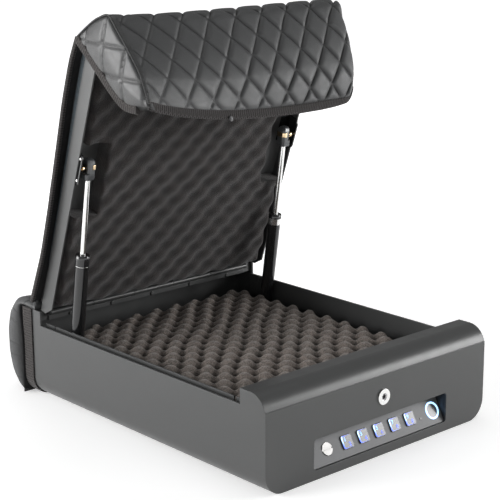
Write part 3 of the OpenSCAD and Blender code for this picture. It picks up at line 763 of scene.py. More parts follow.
class Finishes:
    """Every finish of the safe, built once, and the CAD nodes that wear each."""

    def __init__(self) -> None:
        """Builds the finishes."""
        self.flap_lattice = Lattice((-60.4, 47.3), (20.6, 18.7), (15.0, -19.7))
        self.pad_lattice = Lattice.diamond(35.0, 43.4, 5.0, 0.0)
        self.rear_lattice = Lattice.diamond(35.0, 43.4, -8.0, 13.0)
        self.gusset_lattice = Lattice((321.9, -37.6), (-26.9, -6.1), (8.3, -29.1))
        leather = (0.054, 0.0552, 0.0562)
        specs = {
            "paint": PowderCoat("black_powder_coat", (0.056, 0.0572, 0.0572), roughness=0.34,
                                edge=0.8),
            "panel": Moulded("keypad_panel_grey", (0.135, 0.138, 0.142), 0.5, 0.03),
            "plastic": Moulded("black_plastic", (0.012, 0.012, 0.013), 0.45),
            "key": Moulded("key_smoked", (0.055, 0.058, 0.07), 0.3, 0.008, 0.3),
            "sensor": Moulded("sensor_glass", (0.12, 0.125, 0.135), 0.35, 0.01, 0.4),
            "board": Moulded("board_green", (0.012, 0.085, 0.035), 0.4),
            "bright": Metal("bright_nickel", (0.86, 0.86, 0.85), 0.12, (1, 1, 0.05)),
            "plated": Metal("zinc_plated", (0.55, 0.55, 0.56), 0.34, (0.1, 1, 1)),
            "brass": Metal("brass_yellow", (0.68, 0.50, 0.24), 0.25),
            "gold": Metal("gold_passivated", (0.86, 0.66, 0.42), 0.18),
            "strut": Moulded("strut_black_gloss", (0.011, 0.0112, 0.012), 0.16, 0.004, 0.5),
            "fitting": Moulded("fitting_grey", (0.075, 0.078, 0.082), 0.26, 0.015, 0.4),
            "cell": Metal("cell_sleeve", (0.42, 0.43, 0.45), 0.3),
            "foam": OpenCellFoam("tray_foam_grey", (0.205, 0.182, 0.163), (0.007, 0.006, 0.0055)),
            # The lid's foam is the tray's foam coloured far darker: painted shade inside the lid.
            "lid_foam": OpenCellFoam("lid_foam_dark", (0.027, 0.0228, 0.0219),
                                     (0.017, 0.015, 0.015), speck=0.3),
            "flap": QuiltedLeather("leather_flap", leather, self.flap_lattice),
            "pad": QuiltedLeather("leather_pad", leather, self.pad_lattice),
            # The rear flap's leather is the cover's leather made 1.35 times lighter: painted light.
            "rear": QuiltedLeather("leather_rear", tone(leather, 1.35), self.rear_lattice),
            # The gussets' leather is the cover's leather made darker (0.66): painted shade.
            "gusset": QuiltedLeather("leather_gusset", tone(leather, 0.66), self.gusset_lattice,
                                     roughness=0.34, gloss=0.6),
            "webbing": Webbing("webbing_brown_black", (0.028, 0.0245, 0.0235), 2.8),
            "binding": Webbing("binding_brown_black", (0.018, 0.0155, 0.015), 2.8),
            # Near-black cloth for painted shade: the lining under the pad and the cords in the
            # gusset seams.
            "shade": LiningCloth("lining_black", (0.005, 0.005, 0.0055)),
            "lining": LiningCloth("lining_blue_black", (0.014, 0.022, 0.030)),
            "satin": LiningCloth("lining_satin_blue", (0.018, 0.029, 0.036)),
            "ring": LitPlastic("light_ring_blue", (0.36, 0.62, 1.0), 2.2),
            "rim": LitPlastic("key_rim_light", (0.015, 0.10, 1.0), 2.4, 0.0),
            "digit": LitPlastic("key_digit_light", (0.16, 0.42, 1.0), 1.9),
            "digit_deep": LitPlastic("key_digit_deep", (0.06, 0.12, 1.0), 1.5),
            "lamp": Moulded("lamp_lens", (0.16, 0.165, 0.17), 0.3),
            "service": Metal("service_cap", (0.30, 0.295, 0.29), 0.4),
        }
        self.made = {key: spec.material() for key, spec in specs.items()}

    def __getitem__(self, key: str) -> bpy.types.Material:
        """The finish with that short name."""
        return self.made[key]

    def dress_nodes(self, nodes: dict[str, bpy.types.Object]) -> None:
        """Puts a finish on each CAD node.

        Args:
            nodes: The CAD nodes by name.
        """
        worn = {
            "paint": ("base_shell", "lid_rails", "front_bulkhead", "lid_shell", "hinge_base_leaf",
                      "hinge_pin", "hinge_screws", "hinge_lid_leaf"),
            "plastic": ("keypad_housing", "battery_tray", "hem_snap", "upper_brackets"),
            "panel": ("keypad_plate",), "key": tuple(f"key_{k}" for k in range(1, 6)),
            "ring": ("fingerprint_ring",), "sensor": ("fingerprint_pad",), "lamp": ("status_lamp",),
            "board": ("keypad_board",), "cell": ("battery_cells",),
            "bright": ("lock_barrel", "left_rod", "right_rod", "right_collar", "bracket_rivets"),
            "plated": ("lock_nut", "latch_motor", "motor_bracket", "lower_brackets", "lock_cam",
                       "lock_plug", "latch_bolts"),
            "brass": ("drive_pinion",), "gold": ("left_clip", "right_clip"),
            # left_collar wears the black strut finish, unlike the bright right_collar that it
            # matches: painted dark reflection.
            "strut": ("left_tube", "right_tube", "left_collar"),
            "fitting": ("left_socket", "right_socket"),
            "service": ("service_screw",), "webbing": ("pad_bindings", "rear_wraps", "flap_hem"),
            "foam": ("floor_foam", "tray_foam"), "lid_foam": ("lid_foam",),
            "lining": ("cover_lining",), "pad": ("cover_top_pad",), "rear": ("rear_flap",),
            "flap": ("front_flap",), "gusset": ("left_gusset", "right_gusset"),
        }
        for key, names in worn.items():
            for name in names:
                slots = nodes[name].data.materials
                slots.clear()
                slots.append(self.made[key])
                LOG.info("finish %s on node %s", key, name)


# ---------------------------------------------------------------- shapes


def soften(points: Outline, step: float = 1.0, spread: float = 6.0) -> np.ndarray:
    """A dense copy of an outline with its corners rounded and its ends kept.

    Args:
        points: The outline's corners.
        step: Distance between the new points.
        spread: How far a corner's rounding reaches.

    Returns:
        The new points, one row each.
    """
    p = np.array(points, float)
    way = path_way(p)
    at = np.linspace(0, way[-1], int(round(way[-1] / step)) + 1)
    dense = np.stack([np.interp(at, way, p[:, k]) for k in range(p.shape[1])], 1)
    n = len(dense)
    reach = np.minimum(int(round(spread / step)), np.minimum(np.arange(n), np.arange(n)[::-1]))
    for _ in range(2):
        total = np.vstack([np.zeros(dense.shape[1]), np.cumsum(dense, axis=0)])
        low, high = np.arange(n) - reach, np.arange(n) + reach + 1
        dense = (total[high] - total[low]) / (high - low)[:, None]
    return dense


def path_way(points: np.ndarray) -> np.ndarray:
    """Running length along a path, one value a point."""
    return np.r_[0, np.cumsum(np.linalg.norm(np.diff(points, axis=0), axis=1))]


def along(path: np.ndarray, s: np.ndarray) -> np.ndarray:
    """Points of a path at running lengths s."""
    way = path_way(path)
    return np.stack([np.interp(s, way, path[:, k]) for k in range(path.shape[1])], 1)


def turns(count: int) -> np.ndarray:
    """Angles of count even steps round a circle."""
    return np.linspace(0, 2 * math.pi, count, endpoint=False)


def across_x(x: float, outline: np.ndarray) -> np.ndarray:
    """The points of a side outline at one place across."""
    return np.column_stack([np.full(len(outline), x), outline])


def repeated(way: Sequence[float], count: int) -> np.ndarray:
    """A direction once for each of count points."""
    return np.tile(np.array(way, float), (count, 1))


def corner_pull(dx: np.ndarray, dy: np.ndarray) -> np.ndarray:
    """Factors that pull points of a square corner onto a round one.

    Args:
        dx: How far they lie past the round's centre one way.
        dy: How far they lie past it the other way.

    Returns:
        The factors on both distances.
    """
    size = np.hypot(dx, dy)
    return np.where(size > 0, np.maximum(dx, dy) / np.maximum(size, 1e-9), 1)


def left_normals(points: np.ndarray) -> np.ndarray:
    """Unit normals to the left of a plane path's direction.

    Args:
        points: The path's points.

    Returns:
        One normal a point.
    """
    t = np.gradient(points, axis=0)
    t /= np.linalg.norm(t, axis=1)[:, None]
    return np.stack([-t[:, 1], t[:, 0]], 1)


def edge_drop(distance: np.ndarray, reach: float, depth: float) -> np.ndarray:
    """How far a rounded edge falls.

    Args:
        distance: Distances from the edge.
        reach: How far the rounding reaches.
        depth: How far it falls at the edge.

    Returns:
        The falls.
    """
    if reach <= 0:
        return np.zeros_like(distance)
    share = np.clip(1 - distance / reach, 0, 1)
    return depth * (1 - np.sqrt(1 - share * share))


def triangles_within(rim: np.ndarray, inside: np.ndarray) -> tuple[np.ndarray,
                                                                   list[tuple[int, ...]]]:
    """Triangles over a closed outline and points inside it.

    Args:
        rim: The outline's points in order.
        inside: The points inside.

    Returns:
        The plane points and the triangles.
    """
    edges = [(i, (i + 1) % len(rim)) for i in range(len(rim))]
    points = [Vector(p) for p in np.vstack([rim, inside])]
    found = delaunay_2d_cdt(points, edges, [], 1, 1e-5)
    return np.array([tuple(v) for v in found[0]]), [tuple(f) for f in found[2]]


def shell_faces(front: list[tuple[int, ...]], n: int) -> list[tuple[int, ...]]:
    """Faces of a closed sheet.

    Args:
        front: The faces of its front layer.
        n: How many points on the copy of each point in the back layer is.

    Returns:
        The faces of both layers and of the rim between them.
    """
    faces = front + [tuple(n + v for v in f[::-1]) for f in front]
    edges = {edge for f in front for edge in zip(f, f[1:] + f[:1])}
    return faces + [(j, i, n + i, n + j) for i, j in sorted(edges) if (j, i) not in edges]


def grid_quads(rows: int, count: int, margins: Sequence[int] = ()) -> list[tuple[int, ...]]:
    """Faces between the points of a grid.

    Args:
        rows: How many rows of points.
        count: Points in each row.
        margins: Cells left out at both ends of each row of cells.

    Returns:
        The faces.
    """
    quads = []
    for r in range(rows - 1):
        low = margins[r] if margins else 0
        quads += [(k, k + 1, k + count + 1, k + count)
                  for k in range(r * count + low, (r + 1) * count - 1 - low)]
    return quads


def make_piece(name: str, points: np.ndarray, faces: list[tuple[int, ...]],
               finish: bpy.types.Material, values: dict[str, np.ndarray] | None = None,
               sharp: float = 60.0) -> bpy.types.Object:
    """Makes a mesh object in the row frame.

    Args:
        name: The piece's name.
        points: Its corners in metres.
        faces: Its faces.
        finish: Its material.
        values: Vector attributes of its corners by name.
        sharp: Angle in degrees from which an edge stays sharp.

    Returns:
        The object.
    """
    mesh = bpy.data.meshes.new(name)
    mesh.from_pydata(np.asarray(points, float).tolist(), [], faces)
    for key, rows in (values or {}).items():
        layer = mesh.attributes.new(key, "FLOAT_VECTOR", "POINT")
        layer.data.foreach_set("vector", np.asarray(rows, np.float32).ravel())
    work = bmesh.new()
    work.from_mesh(mesh)
    bmesh.ops.recalc_face_normals(work, faces=work.faces)
    work.to_mesh(mesh)
    work.free()
    mesh.shade_smooth()
    mesh.set_sharp_from_angle(angle=math.radians(sharp))
    mesh.materials.append(finish)
    piece = bpy.data.objects.new(name, mesh)
    bpy.context.scene.collection.objects.link(piece)
    return piece


def ring_faces(rows: int, count: int, closed: bool = False) -> list[tuple[int, ...]]:
    """Faces between rings of count points each, with flat caps unless the rings close up.

    Args:
        rows: How many rings.
        count: Points in each ring.
        closed: Whether the last ring joins the first.

    Returns:
        The faces.
    """
    faces = []
    for r in range(rows if closed else rows - 1):
        here, after = r * count, (r + 1) % rows * count
        faces += [(here + k, here + (k + 1) % count, after + (k + 1) % count, after + k)
                  for k in range(count)]
    if not closed:
        faces += [tuple(range(count))[::-1], tuple(range((rows - 1) * count, rows * count))]
    return faces


def lathe(name: str, place: Place, axis: str, profile: Outline, finish: bpy.types.Material,
          centre: Sequence[float] = (0, 0, 0), count: int = 40) -> bpy.types.Object:
    """A turned piece.

    Args:
        name: The piece's name.
        place: Its axes.
        axis: "X", "Y" or "Z", the axis that it is turned about.
        profile: (distance along the axis, radius) points.
        finish: Its material.
        centre: A point of the axis.
        count: Points round it.

    Returns:
        The object.
    """
    turn = turns(count)
    rings = []
    for at, radius in profile:
        circle = np.stack([np.full(count, at), radius * np.cos(turn), radius * np.sin(turn)], 1)
        rings.append(np.roll(circle, "XYZ".index(axis), axis=1))
    local = np.vstack(rings) + np.array(centre, float)
    return make_piece(name, place.points(local), ring_faces(len(profile), count), finish,
                      sharp=35)


@dataclass
class QuiltedSheet:
    """A padded leather sheet that follows a side outline and is quilted on its outer face."""

    name: str
    outer: Outline
    inner: Outline
    half: float
    lattice: Lattice
    place: Place
    spread: float = 6.0
    swell: float = 3.0
    side_round: tuple[float, float] = (5.0, 3.0)
    end_round: tuple[float, float] = (3.0, 2.0)
    end_turn: tuple[float, float] = (0.0, 0.0)
    corner: float = 0.0
    sink: float = 0.0
    flank: float = 5.0
    left_share: float = 1.0
    sides: tuple[Outline, Outline, float] | None = None
    shares: tuple[float, ...] = (0, 0.045, 0.1, 0.17, 0.27, 0.385, 0.5, 0.615, 0.73, 0.83, 0.9,
                                 0.955)
    rim_step: float = 2.0
    rim_second: float = 0.7
    calm_side: float = 6.0
    calm_end: float = 5.0
    back_share: float = 0.4

    def build(self, finish: bpy.types.Material) -> bpy.types.Object:
        """Makes the sheet.

        Args:
            finish: Its leather.

        Returns:
            The object, in the row frame.
        """
        outer, inner = soften(self.outer, 1.0, self.spread), soften(self.inner, 1.0, self.spread)
        total = path_way(outer)[-1]
        flat, triangles = triangles_within(self.rim(total), np.vstack([
            self.lattice.mesh_points(self.half, total, self.shares, self.rim_step * 1.2),
            self.rim(total, self.rim_second)]))
        x, s = flat.T
        p, q = self.lattice.place(x, s)
        flat_x, flat_s = self.rounded(x, s, total)
        face, normal = self.lay(outer, flat_s)
        back, back_normal = self.lay(inner, flat_s * path_way(inner)[-1] / total)
        side = self.half - np.abs(x)
        if self.sides is not None:
            pinch = (1 - np.sqrt(1 - np.clip(1 - side / self.sides[2], 0, 1) ** 2.2))[:, None]
            for layer, outline in ((face, self.sides[0]), (back, self.sides[1])):
                track = soften(outline, 1.0, self.spread)
                length = path_way(track)[-1]
                layer += (self.lay(track, flat_s * length / total)[0] - layer) * pinch
        end = np.minimum(s, total - s)
        calm = np.clip(np.minimum(side / self.calm_side, end / self.calm_end), 0, 1)
        calm = calm * np.interp(x / self.half, [-1, 0.5], [self.left_share, 1])
        height = self.swell * self.lattice.cushion(p, q, self.flank) * calm - self.sink
        fall = np.maximum(edge_drop(side, *self.side_round), edge_drop(end, *self.end_round))
        back_turn = edge_drop(self.half - x, *self.end_turn)
        face = face + normal * (height - fall - back_turn)[:, None]
        rise = np.maximum(*(edge_drop(away, reach, depth * self.back_share) for away, (reach, depth)
                            in ((side, self.side_round), (end, self.end_round))))
        back = back + back_normal * (rise - back_turn)[:, None]
        shape = np.vstack([np.column_stack([flat_x, face]), np.column_stack([flat_x, back])])
        quilt = np.vstack([np.column_stack([p, q, np.full(len(p), sewn)]) for sewn in (1, 0)])
        return make_piece(self.name, self.place.points(shape), shell_faces(triangles, len(flat)),
                          finish, {"quilt": quilt})

    def rim(self, total: float, inset: float = 0.0) -> np.ndarray:
        """Points round the flat sheet.

        Args:
            total: The sheet's length.
            inset: How far in from its edge they lie.

        Returns:
            The (x, s) points.
        """
        half, low, high = self.half - inset, inset, total - inset
        corners = [(-half, low), (half, low), (half, high), (-half, high)]
        sides = []
        for a, b in zip(corners, corners[1:] + corners[:1]):
            count = int(math.dist(a, b) / self.rim_step)
            sides.append(np.linspace(a, b, count, endpoint=False))
        return np.vstack(sides)

    def lay(self, path: np.ndarray, s: np.ndarray) -> tuple[np.ndarray, np.ndarray]:
        """Points and outward normals of a path.

        Args:
            path: The path.
            s: The running lengths to look at.

        Returns:
            The points and the normals there.
        """
        both = np.column_stack([path, left_normals(path)])
        way = path_way(path)
        found = np.stack([np.interp(s, way, both[:, k]) for k in range(4)], -1)
        return found[:, :2], found[:, 2:]

    def rounded(self, x: np.ndarray, s: np.ndarray, total: float) -> tuple[np.ndarray, np.ndarray]:
        """Pulls the corner at the right end and the last running length round.

        Args:
            x: Places across the sheet.
            s: Places along it.
            total: The sheet's length.

        Returns:
            The new places across and along.
        """
        r = self.corner
        dx, ds = np.maximum(x - (self.half - r), 0), np.maximum(s - (total - r), 0)
        factor = corner_pull(dx, ds)
        return (np.where(dx > 0, self.half - r + dx * factor, x),
                np.where(ds > 0, total - r + ds * factor, s))


@dataclass
class Panel:
    """A sewn side panel: a closed outline in the plane across X, puffed on its outer face."""

    name: str
    outline: np.ndarray
    place: Place
    side: Side
    inner_x: float
    outer_x: float
    puff: float
    edge: tuple[float, float]
    lattice: Lattice
    swell: float
    flank: float = 4.0
    fine: float = 1.6

    def build(self, finish: bpy.types.Material) -> bpy.types.Object:
        """Makes the panel.

        Args:
            finish: Its material.

        Returns:
            The object, in the row frame.
        """
        rim = self.outline
        low, high = rim.min(0), rim.max(0)
        xs = np.arange(low[0] + self.fine, high[0], self.fine)
        ys = np.arange(low[1] + self.fine, high[1], self.fine)
        grid = np.array([(px, py) for px in xs for py in ys])
        away = self.distance(grid)
        grid = grid[away > self.fine * 0.55]
        flat, triangles = triangles_within(rim, grid)
        away = np.maximum(self.distance(flat), 0)
        reach = max(away.max(), 1e-6)
        bulge = self.puff * np.sin(np.clip(away / reach, 0, 1) * math.pi / 2)
        height = self.outer_x + bulge - edge_drop(away, *self.edge)
        p, q = self.lattice.place(*flat.T)
        height = height + self.swell * self.lattice.cushion(p, q, self.flank) * np.clip(
            away / self.flank, 0, 1)
        n = len(flat)
        shape = np.vstack([np.column_stack([self.side.value * height, flat]),
                           across_x(self.side.value * self.inner_x, flat)])
        quilt = np.vstack([np.column_stack([p, q, np.ones(n)])] * 2)
        return make_piece(self.name, self.place.points(shape), shell_faces(triangles, n), finish,
                          {"quilt": quilt})

    def distance(self, points: np.ndarray) -> np.ndarray:
        """Distance of points to the outline.

        Args:
            points: The points.

        Returns:
            The distances, negative outside the outline.
        """
        start = self.outline
        end = np.roll(start, -1, axis=0)
        best = np.full(len(points), 1e9)
        inside = np.zeros(len(points), bool)
        for p, q in zip(start, end):
            d = q - p
            t = np.clip(((points - p) @ d) / max(d @ d, 1e-12), 0, 1)
            best = np.minimum(best, np.linalg.norm(points - (p + t[:, None] * d), axis=1))
            crosses = (p[1] > points[:, 1]) != (q[1] > points[:, 1])
            if abs(d[1]) > 1e-12:
                at = p[0] + (points[:, 1] - p[1]) * d[0] / d[1]
                inside ^= crosses & (points[:, 0] < at)
        return np.where(inside, best, -best)


@dataclass
class Tape:
    """A strip of webbing swept along a path of three-dimensional points with a given cross axis."""

    name: str
    path: np.ndarray
    across: np.ndarray
    width: float | np.ndarray
    thick: float
    place: Place
    stitch_at: float = 0.35
    count: int = 28
    flat_wide: float = 0.35
    flat_tall: float = 0.6

    def build(self, finish: bpy.types.Material) -> bpy.types.Object:
        """Makes the strip: its path is the middle, across its width's direction at each point.

        Args:
            finish: Its material.

        Returns:
            The object, in the row frame.
        """
        path, across = self.path, self.across / np.linalg.norm(self.across, axis=1)[:, None]
        tangent = np.gradient(path, axis=0)
        tangent /= np.linalg.norm(tangent, axis=1)[:, None]
        up = np.cross(tangent, across)
        turn = turns(self.count)
        c, s = np.cos(turn), np.sin(turn)
        width = np.broadcast_to(self.width, len(path))
        wide = np.sign(c) * np.abs(c) ** self.flat_wide / 2
        tall = np.sign(s) * np.abs(s) ** self.flat_tall * self.thick / 2
        rings = [p + np.outer(wide * w, a) + np.outer(tall, u)
                 for p, w, a, u in zip(path, width, across, up)]
        weave = np.vstack([np.column_stack([np.full(self.count, at), wide * w,
                                            (wide - self.stitch_at) * w])
                           for at, w in zip(path_way(path), width)])
        return make_piece(self.name, self.place.points(np.vstack(rings)),
                          ring_faces(len(path), self.count), finish, {"weave": weave}, 75)


@dataclass
class EggCrate:
    """An egg-crate foam sheet: rounded peaks and hollows at alternate corners of its cells."""

    name: str
    place: Place
    x0: float
    y0: float
    cells: tuple[int, int]
    cell: tuple[float, float]
    floor: float
    top: float
    depth: float
    notch: tuple[int, int, int] = (0, 0, 0)
    fine: int = 9
    round_corner: float = 0.0
    flip: bool = False
    power: float = 1.7

    def build(self, finish: bpy.types.Material) -> bpy.types.Object:
        """Makes the sheet.

        Args:
            finish: Its foam.

        Returns:
            The object, in the row frame.
        """
        nx, ny = self.cells[0] * self.fine, self.cells[1] * self.fine
        i = np.arange(nx + 1)[None, :] / self.fine + np.zeros((ny + 1, 1))
        j = np.arange(ny + 1)[:, None] / self.fine + np.zeros((1, nx + 1))
        chance = np.random.RandomState(7)
        waves = [(chance.uniform(0.15, 0.6, 2), chance.uniform(0, 6.28, 2)) for _ in range(6)]
        wobble = sum(np.sin(i * f[0] + ph[0]) * np.sin(j * f[1] + ph[1]) for f, ph in waves) / 6
        lean_i, lean_j = 0.10 * np.sin(j * 0.9 + 1.3), 0.10 * np.sin(i * 0.8 + 0.4)
        wave = np.cos(np.pi * (i + lean_i)) * np.cos(np.pi * (j + lean_j))
        deep = (0.5 - 0.5 * wave) ** self.power
        height = self.top - self.depth * deep + 0.7 * wobble - 0.7
        side, first_j, last_j = self.notch
        left = np.where((j > first_j) & (j < last_j), side, 0)
        inward = np.minimum(np.minimum(i - left, self.cells[0] - left - i) * self.cell[0],
                            np.minimum(j, self.cells[1] - j) * self.cell[1])
        height = height - edge_drop(np.maximum(inward, 0), 4.0, 3.0)
        x, y = self.x0 + i * self.cell[0], self.y0 + j * self.cell[1]
        if self.round_corner > 0:
            x, y = self.rounded(x, y)
        n = (nx + 1) * (ny + 1)
        first = np.column_stack([x.ravel(), y.ravel(), height.ravel()])
        under = np.column_stack([x.ravel(), y.ravel(), np.full(n, self.floor)])
        points = np.vstack([first, under])
        margins = [side * self.fine if first_j <= r / self.fine < last_j else 0
                   for r in range(ny)]
        faces = shell_faces(grid_quads(ny + 1, nx + 1, margins), n)
        used = sorted({v for f in faces for v in f})
        order = {v: k for k, v in enumerate(used)}
        faces = [tuple(order[v] for v in f) for f in faces]
        # The underside gets crate 0.6, which paints shade on it and on the lower cut sides through
        # the foam's finish.
        crate = np.column_stack([np.r_[deep.ravel(), np.full(n, 0.6)], np.zeros((2 * n, 2))])
        points = points[used]
        if self.flip:
            points = points * np.array([1, 1, -1])
        return make_piece(self.name, self.place.points(points), faces, finish,
                          {"crate": crate[used]}, 80)

    def rounded(self, x: np.ndarray, y: np.ndarray) -> tuple[np.ndarray, np.ndarray]:
        """Pulls the two corners at the low end of y round.

        Args:
            x: Places across.
            y: Places along.

        Returns:
            The new places across and along.
        """
        r = self.round_corner
        half = self.cells[0] * self.cell[0] / 2
        dx = np.maximum(np.abs(x) - (half - r), 0)
        dy = np.maximum(self.y0 + r - y, 0)
        factor = corner_pull(dx, dy)
        new_x = np.sign(x) * (np.minimum(np.abs(x), half - r) + dx * factor)
        new_y = np.where(dy > 0, self.y0 + r - dy * factor, y)
        return new_x, new_y


# ---------------------------------------------------------------- sub-assemblies


def ride(piece: bpy.types.Object, body: str, replaces: Iterable[str] = ()) -> bpy.types.Object:
    """Seats a piece on a body, and hides the CAD nodes that it stands for.

    Args:
        piece: The piece.
        body: The CAD body that carries it.
        replaces: CAD nodes that it stands for.

    Returns:
        The piece.
    """
    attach(piece, body)
    if replaces:
        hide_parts(*replaces)
    LOG.info("piece %s on %s, %d corners", piece.name, body, len(piece.data.vertices))
    return piece


@dataclass
class TrayFoam:
    """The foam in the base: an egg-crate sheet on a plank."""

    finishes: Finishes
    half: float = 125.0
    y0: float = 35.0
    y1: float = 345.0
    joint_z: float = 40.0
    top_z: float = 70.0
    cells: tuple[int, int] = (18, 23)

    def build(self) -> None:
        """Makes the sheet and the plank under it."""
        cell = (2 * self.half / self.cells[0], (self.y1 - self.y0) / self.cells[1])
        sheet = EggCrate("tray_egg_crate", BASE, -self.half, self.y0, self.cells, cell,
                         self.joint_z, self.top_z + 0.4, depth=12.5)
        ride(sheet.build(self.finishes["foam"]), "base", ["tray_foam"])
        ride(self.plank(), "base", ["floor_foam"])

    def plank(self) -> bpy.types.Object:
        """The flat plank, with soft cut edges.

        Returns:
            The object.
        """
        rows, count = 40, 36
        c, s = np.cos(turns(count)), np.sin(turns(count))
        low, high = 2.1, self.joint_z - 0.2
        rings = []
        for k in range(rows):
            t = k / (rows - 1)
            shrink = 1.2 * (1 - math.sin(math.pi * min(max(t, 0.01), 0.99)) ** 0.15)
            x = np.sign(c) * np.abs(c) ** 0.12 * (self.half - 0.4 - shrink)
            z = (low + high) / 2 + np.sign(s) * np.abs(s) ** 0.12 * ((high - low) / 2 - shrink)
            y = self.y0 + 0.3 + t * (self.y1 - self.y0 - 0.6)
            rings.append(np.column_stack([x + 0.25 * math.sin(k * 1.7), np.full(count, y), z]))
        local = np.vstack(rings)
        # Crate 0.35 paints a little shade on the plank through the foam's finish.
        crate = np.full((len(local), 3), 0.35)
        return make_piece("foam_plank", BASE.points(local), ring_faces(rows, count),
                          self.finishes["foam"], {"crate": crate}, 70)


@dataclass
class LidFoam:
    """The egg-crate sheet glued inside the lid, narrower beside the gas struts."""

    finishes: Finishes
    half: float = 141.0
    u0: float = 13.0
    u1: float = 301.0
    cells: tuple[int, int] = (20, 21)
    thick: float = 18.5

    def build(self) -> None:
        """Makes the sheet."""
        cell = (2 * self.half / self.cells[0], (self.u1 - self.u0) / self.cells[1])
        sheet = EggCrate("lid_egg_crate", LID, -self.half, self.u0, self.cells, cell, 1.6,
                         1.5 + self.thick + 0.4, depth=3.4, notch=(2, 8, 14), fine=8,
                         round_corner=12.0, flip=True, power=1.1)
        ride(sheet.build(self.finishes["lid_foam"]), "lid", ["lid_foam"])


@dataclass
class QuiltedCover:
    """The leather cover: top pad, front flap with its gussets, rear flap, bindings and lining."""

    finishes: Finishes
    half: float = SIZES.cover_w / 2
    bow: tuple[tuple[float, float], ...] = ((12, 6), (30, 4.5), (60, 4), (150, 10), (285, 10))
    nose: tuple[float, float] = (303.6, 3.0)
    flap_over: tuple[tuple[float, float], ...] = (
        (309.4, 9), (319, 2), (337, -13), (352, -32), (343, -47), (332, -68), (318, -92),
        (301, -108), (297, -111.6))
    flap_under: tuple[tuple[float, float], ...] = (
        (305.2, 4.4), (322.7, -5.65), (342.3, -30.1), (335.7, -51.2), (324.7, -72.1),
        (311.3, -96.9), (295.3, -101.9), (291.2, -105.4))
    gusset_rim: tuple[tuple[float, float], ...] = (
        (293, -115.2), (281, -92), (278, -77), (284, -57), (293, -34), (302, -11), (308.5, 6.5))
    rear_over: tuple[tuple[float, float], ...] = (
        (-25, 105), (-5, 106), (11, 101), (21, 88), (26, 66), (26, 40), (21, 20), (11, 6), (2, 1))
    rear_under: tuple[tuple[float, float], ...] = (
        (-25, 97), (4, 99), (3, 84), (0.6, 64), (0.6, 40), (0.6, 20), (0.6, 1))
    side_bow: tuple[tuple[float, float], ...] = (
        (12, 9.5), (35, 7.8), (71, 5.1), (130, 6.8), (187, 9.8), (241, 13), (285, 13), (308.9, 9.5))
    binding_t: float = 4.4
    binding_end: float = 8.0
    bottom_r: float = 21.0
    end_turn: tuple[float, float] = (20.0, 4.5)
    corner: float = 13.0
    drawn: float = 7.0
    rear_half: float = 154.0
    rear_full: float = 5.0
    lining_half: float = 146.0
    gusset_x: float = 154.6
    gusset_gap: float = 0.8
    cord_x: float = 155.5
    cord_gap: float = 1.3
    cord: float = 1.7
    snap_x: float = -43.0

    def build(self) -> None:
        """Makes every piece of the cover."""
        self.top_pad()
        self.front_flap()
        self.rear_flap()
        self.lining()
        for side in Side:
            self.gusset(side)
            self.side_binding(side)
            self.gusset_binding(side)
            self.rear_wrap(side)
        self.hem()
        self.hinge_roll()

    def top_pad(self) -> None:
        """The padded panel over the lid."""
        t = SIZES.pad_t
        under = [*self.bow, self.nose]
        over = [(u, v + t) for u, v in self.bow] + [(self.nose[0] + 0.62 * t,
                                                     self.nose[1] + 0.76 * t)]
        thin = [(u, v - self.binding_t) for u, v in self.side_bow]
        pad = QuiltedSheet("top_pad", over, under, self.half - 0.6, self.finishes.pad_lattice, LID,
                           spread=8.0, swell=3.2, side_round=(1.5, 0.8), end_round=(3.0, 2.0),
                           sink=0.8, sides=(self.side_bow, thin, 30.0))
        ride(pad.build(self.finishes["pad"]), "lid", ["cover_top_pad"])

    def front_flap(self) -> None:
        """The flap that hangs over the lid's front edge."""
        flap = QuiltedSheet("front_flap_skin", self.flap_over, self.flap_under, SIZES.flap_half,
                            self.finishes.flap_lattice, FLAP, spread=5.0, swell=3.2,
                            side_round=(2.5, 1.6), end_round=(2.0, 1.2), end_turn=self.end_turn,
                            corner=self.corner, sink=2.2, flank=4.4, left_share=0.45)
        ride(flap.build(self.finishes["flap"]), "flap", ["front_flap"])

    def rear_flap(self) -> None:
        """The flap behind the base."""
        over = [(y + self.rear_full * math.sin(math.pi * k / (len(self.rear_over) - 1)), z)
                for k, (y, z) in enumerate(self.rear_over)]
        flap = QuiltedSheet("rear_flap_skin", over, self.rear_under, self.rear_half,
                            self.finishes.rear_lattice, REAR, spread=5.0, swell=3.0,
                            side_round=(7.0, 3.2), end_round=(3.0, 2.0), sink=1.2)
        ride(flap.build(self.finishes["rear"]), "base", ["rear_flap"])

    def gusset(self, side: Side) -> None:
        """A side panel of the front flap, and a near-black cord along the seam between them that
        stands for the seam's shade.

        Args:
            side: The flap's end that it closes.
        """
        drawn = self.drawn_in(side)
        outer = soften(self.flap_over, 2.5, 5.0)
        outer = outer[:len(outer) - int(drawn)]
        edge = outer - left_normals(outer) * (self.gusset_gap + drawn)
        ring = np.vstack([edge, self.gusset_back(drawn)])
        panel = Panel(f"{side.word}_gusset_skin", ring, FLAP, side, SIZES.base_half - drawn,
                      self.gusset_x - drawn, puff=5.0, edge=(3.4, 2.0),
                      lattice=self.finishes.gusset_lattice, swell=2.2)
        ride(panel.build(self.finishes["gusset"]), "flap",
             [f"{side.word}_gusset"])
        # A near-black cord in the seam: painted shade along the seam's groove.
        path = across_x(side.value * (self.cord_x - drawn),
                        outer - left_normals(outer) * (self.cord_gap + drawn))
        cord = Tape(f"{side.word}_gusset_seam", path, repeated((1, 0, 0), len(outer)), self.cord,
                    self.cord, FLAP)
        ride(cord.build(self.finishes["shade"]), "flap")

    def drawn_in(self, side: Side) -> float:
        """How far the flap's end is drawn in."""
        return self.drawn if side is Side.RIGHT else 0.0

    def gusset_back(self, drawn: float) -> np.ndarray:
        """A gusset's rear edge from the bottom up, shorter where the flap's end is drawn in."""
        return soften(self.gusset_rim, 2.5, 5.0)[int(drawn):]

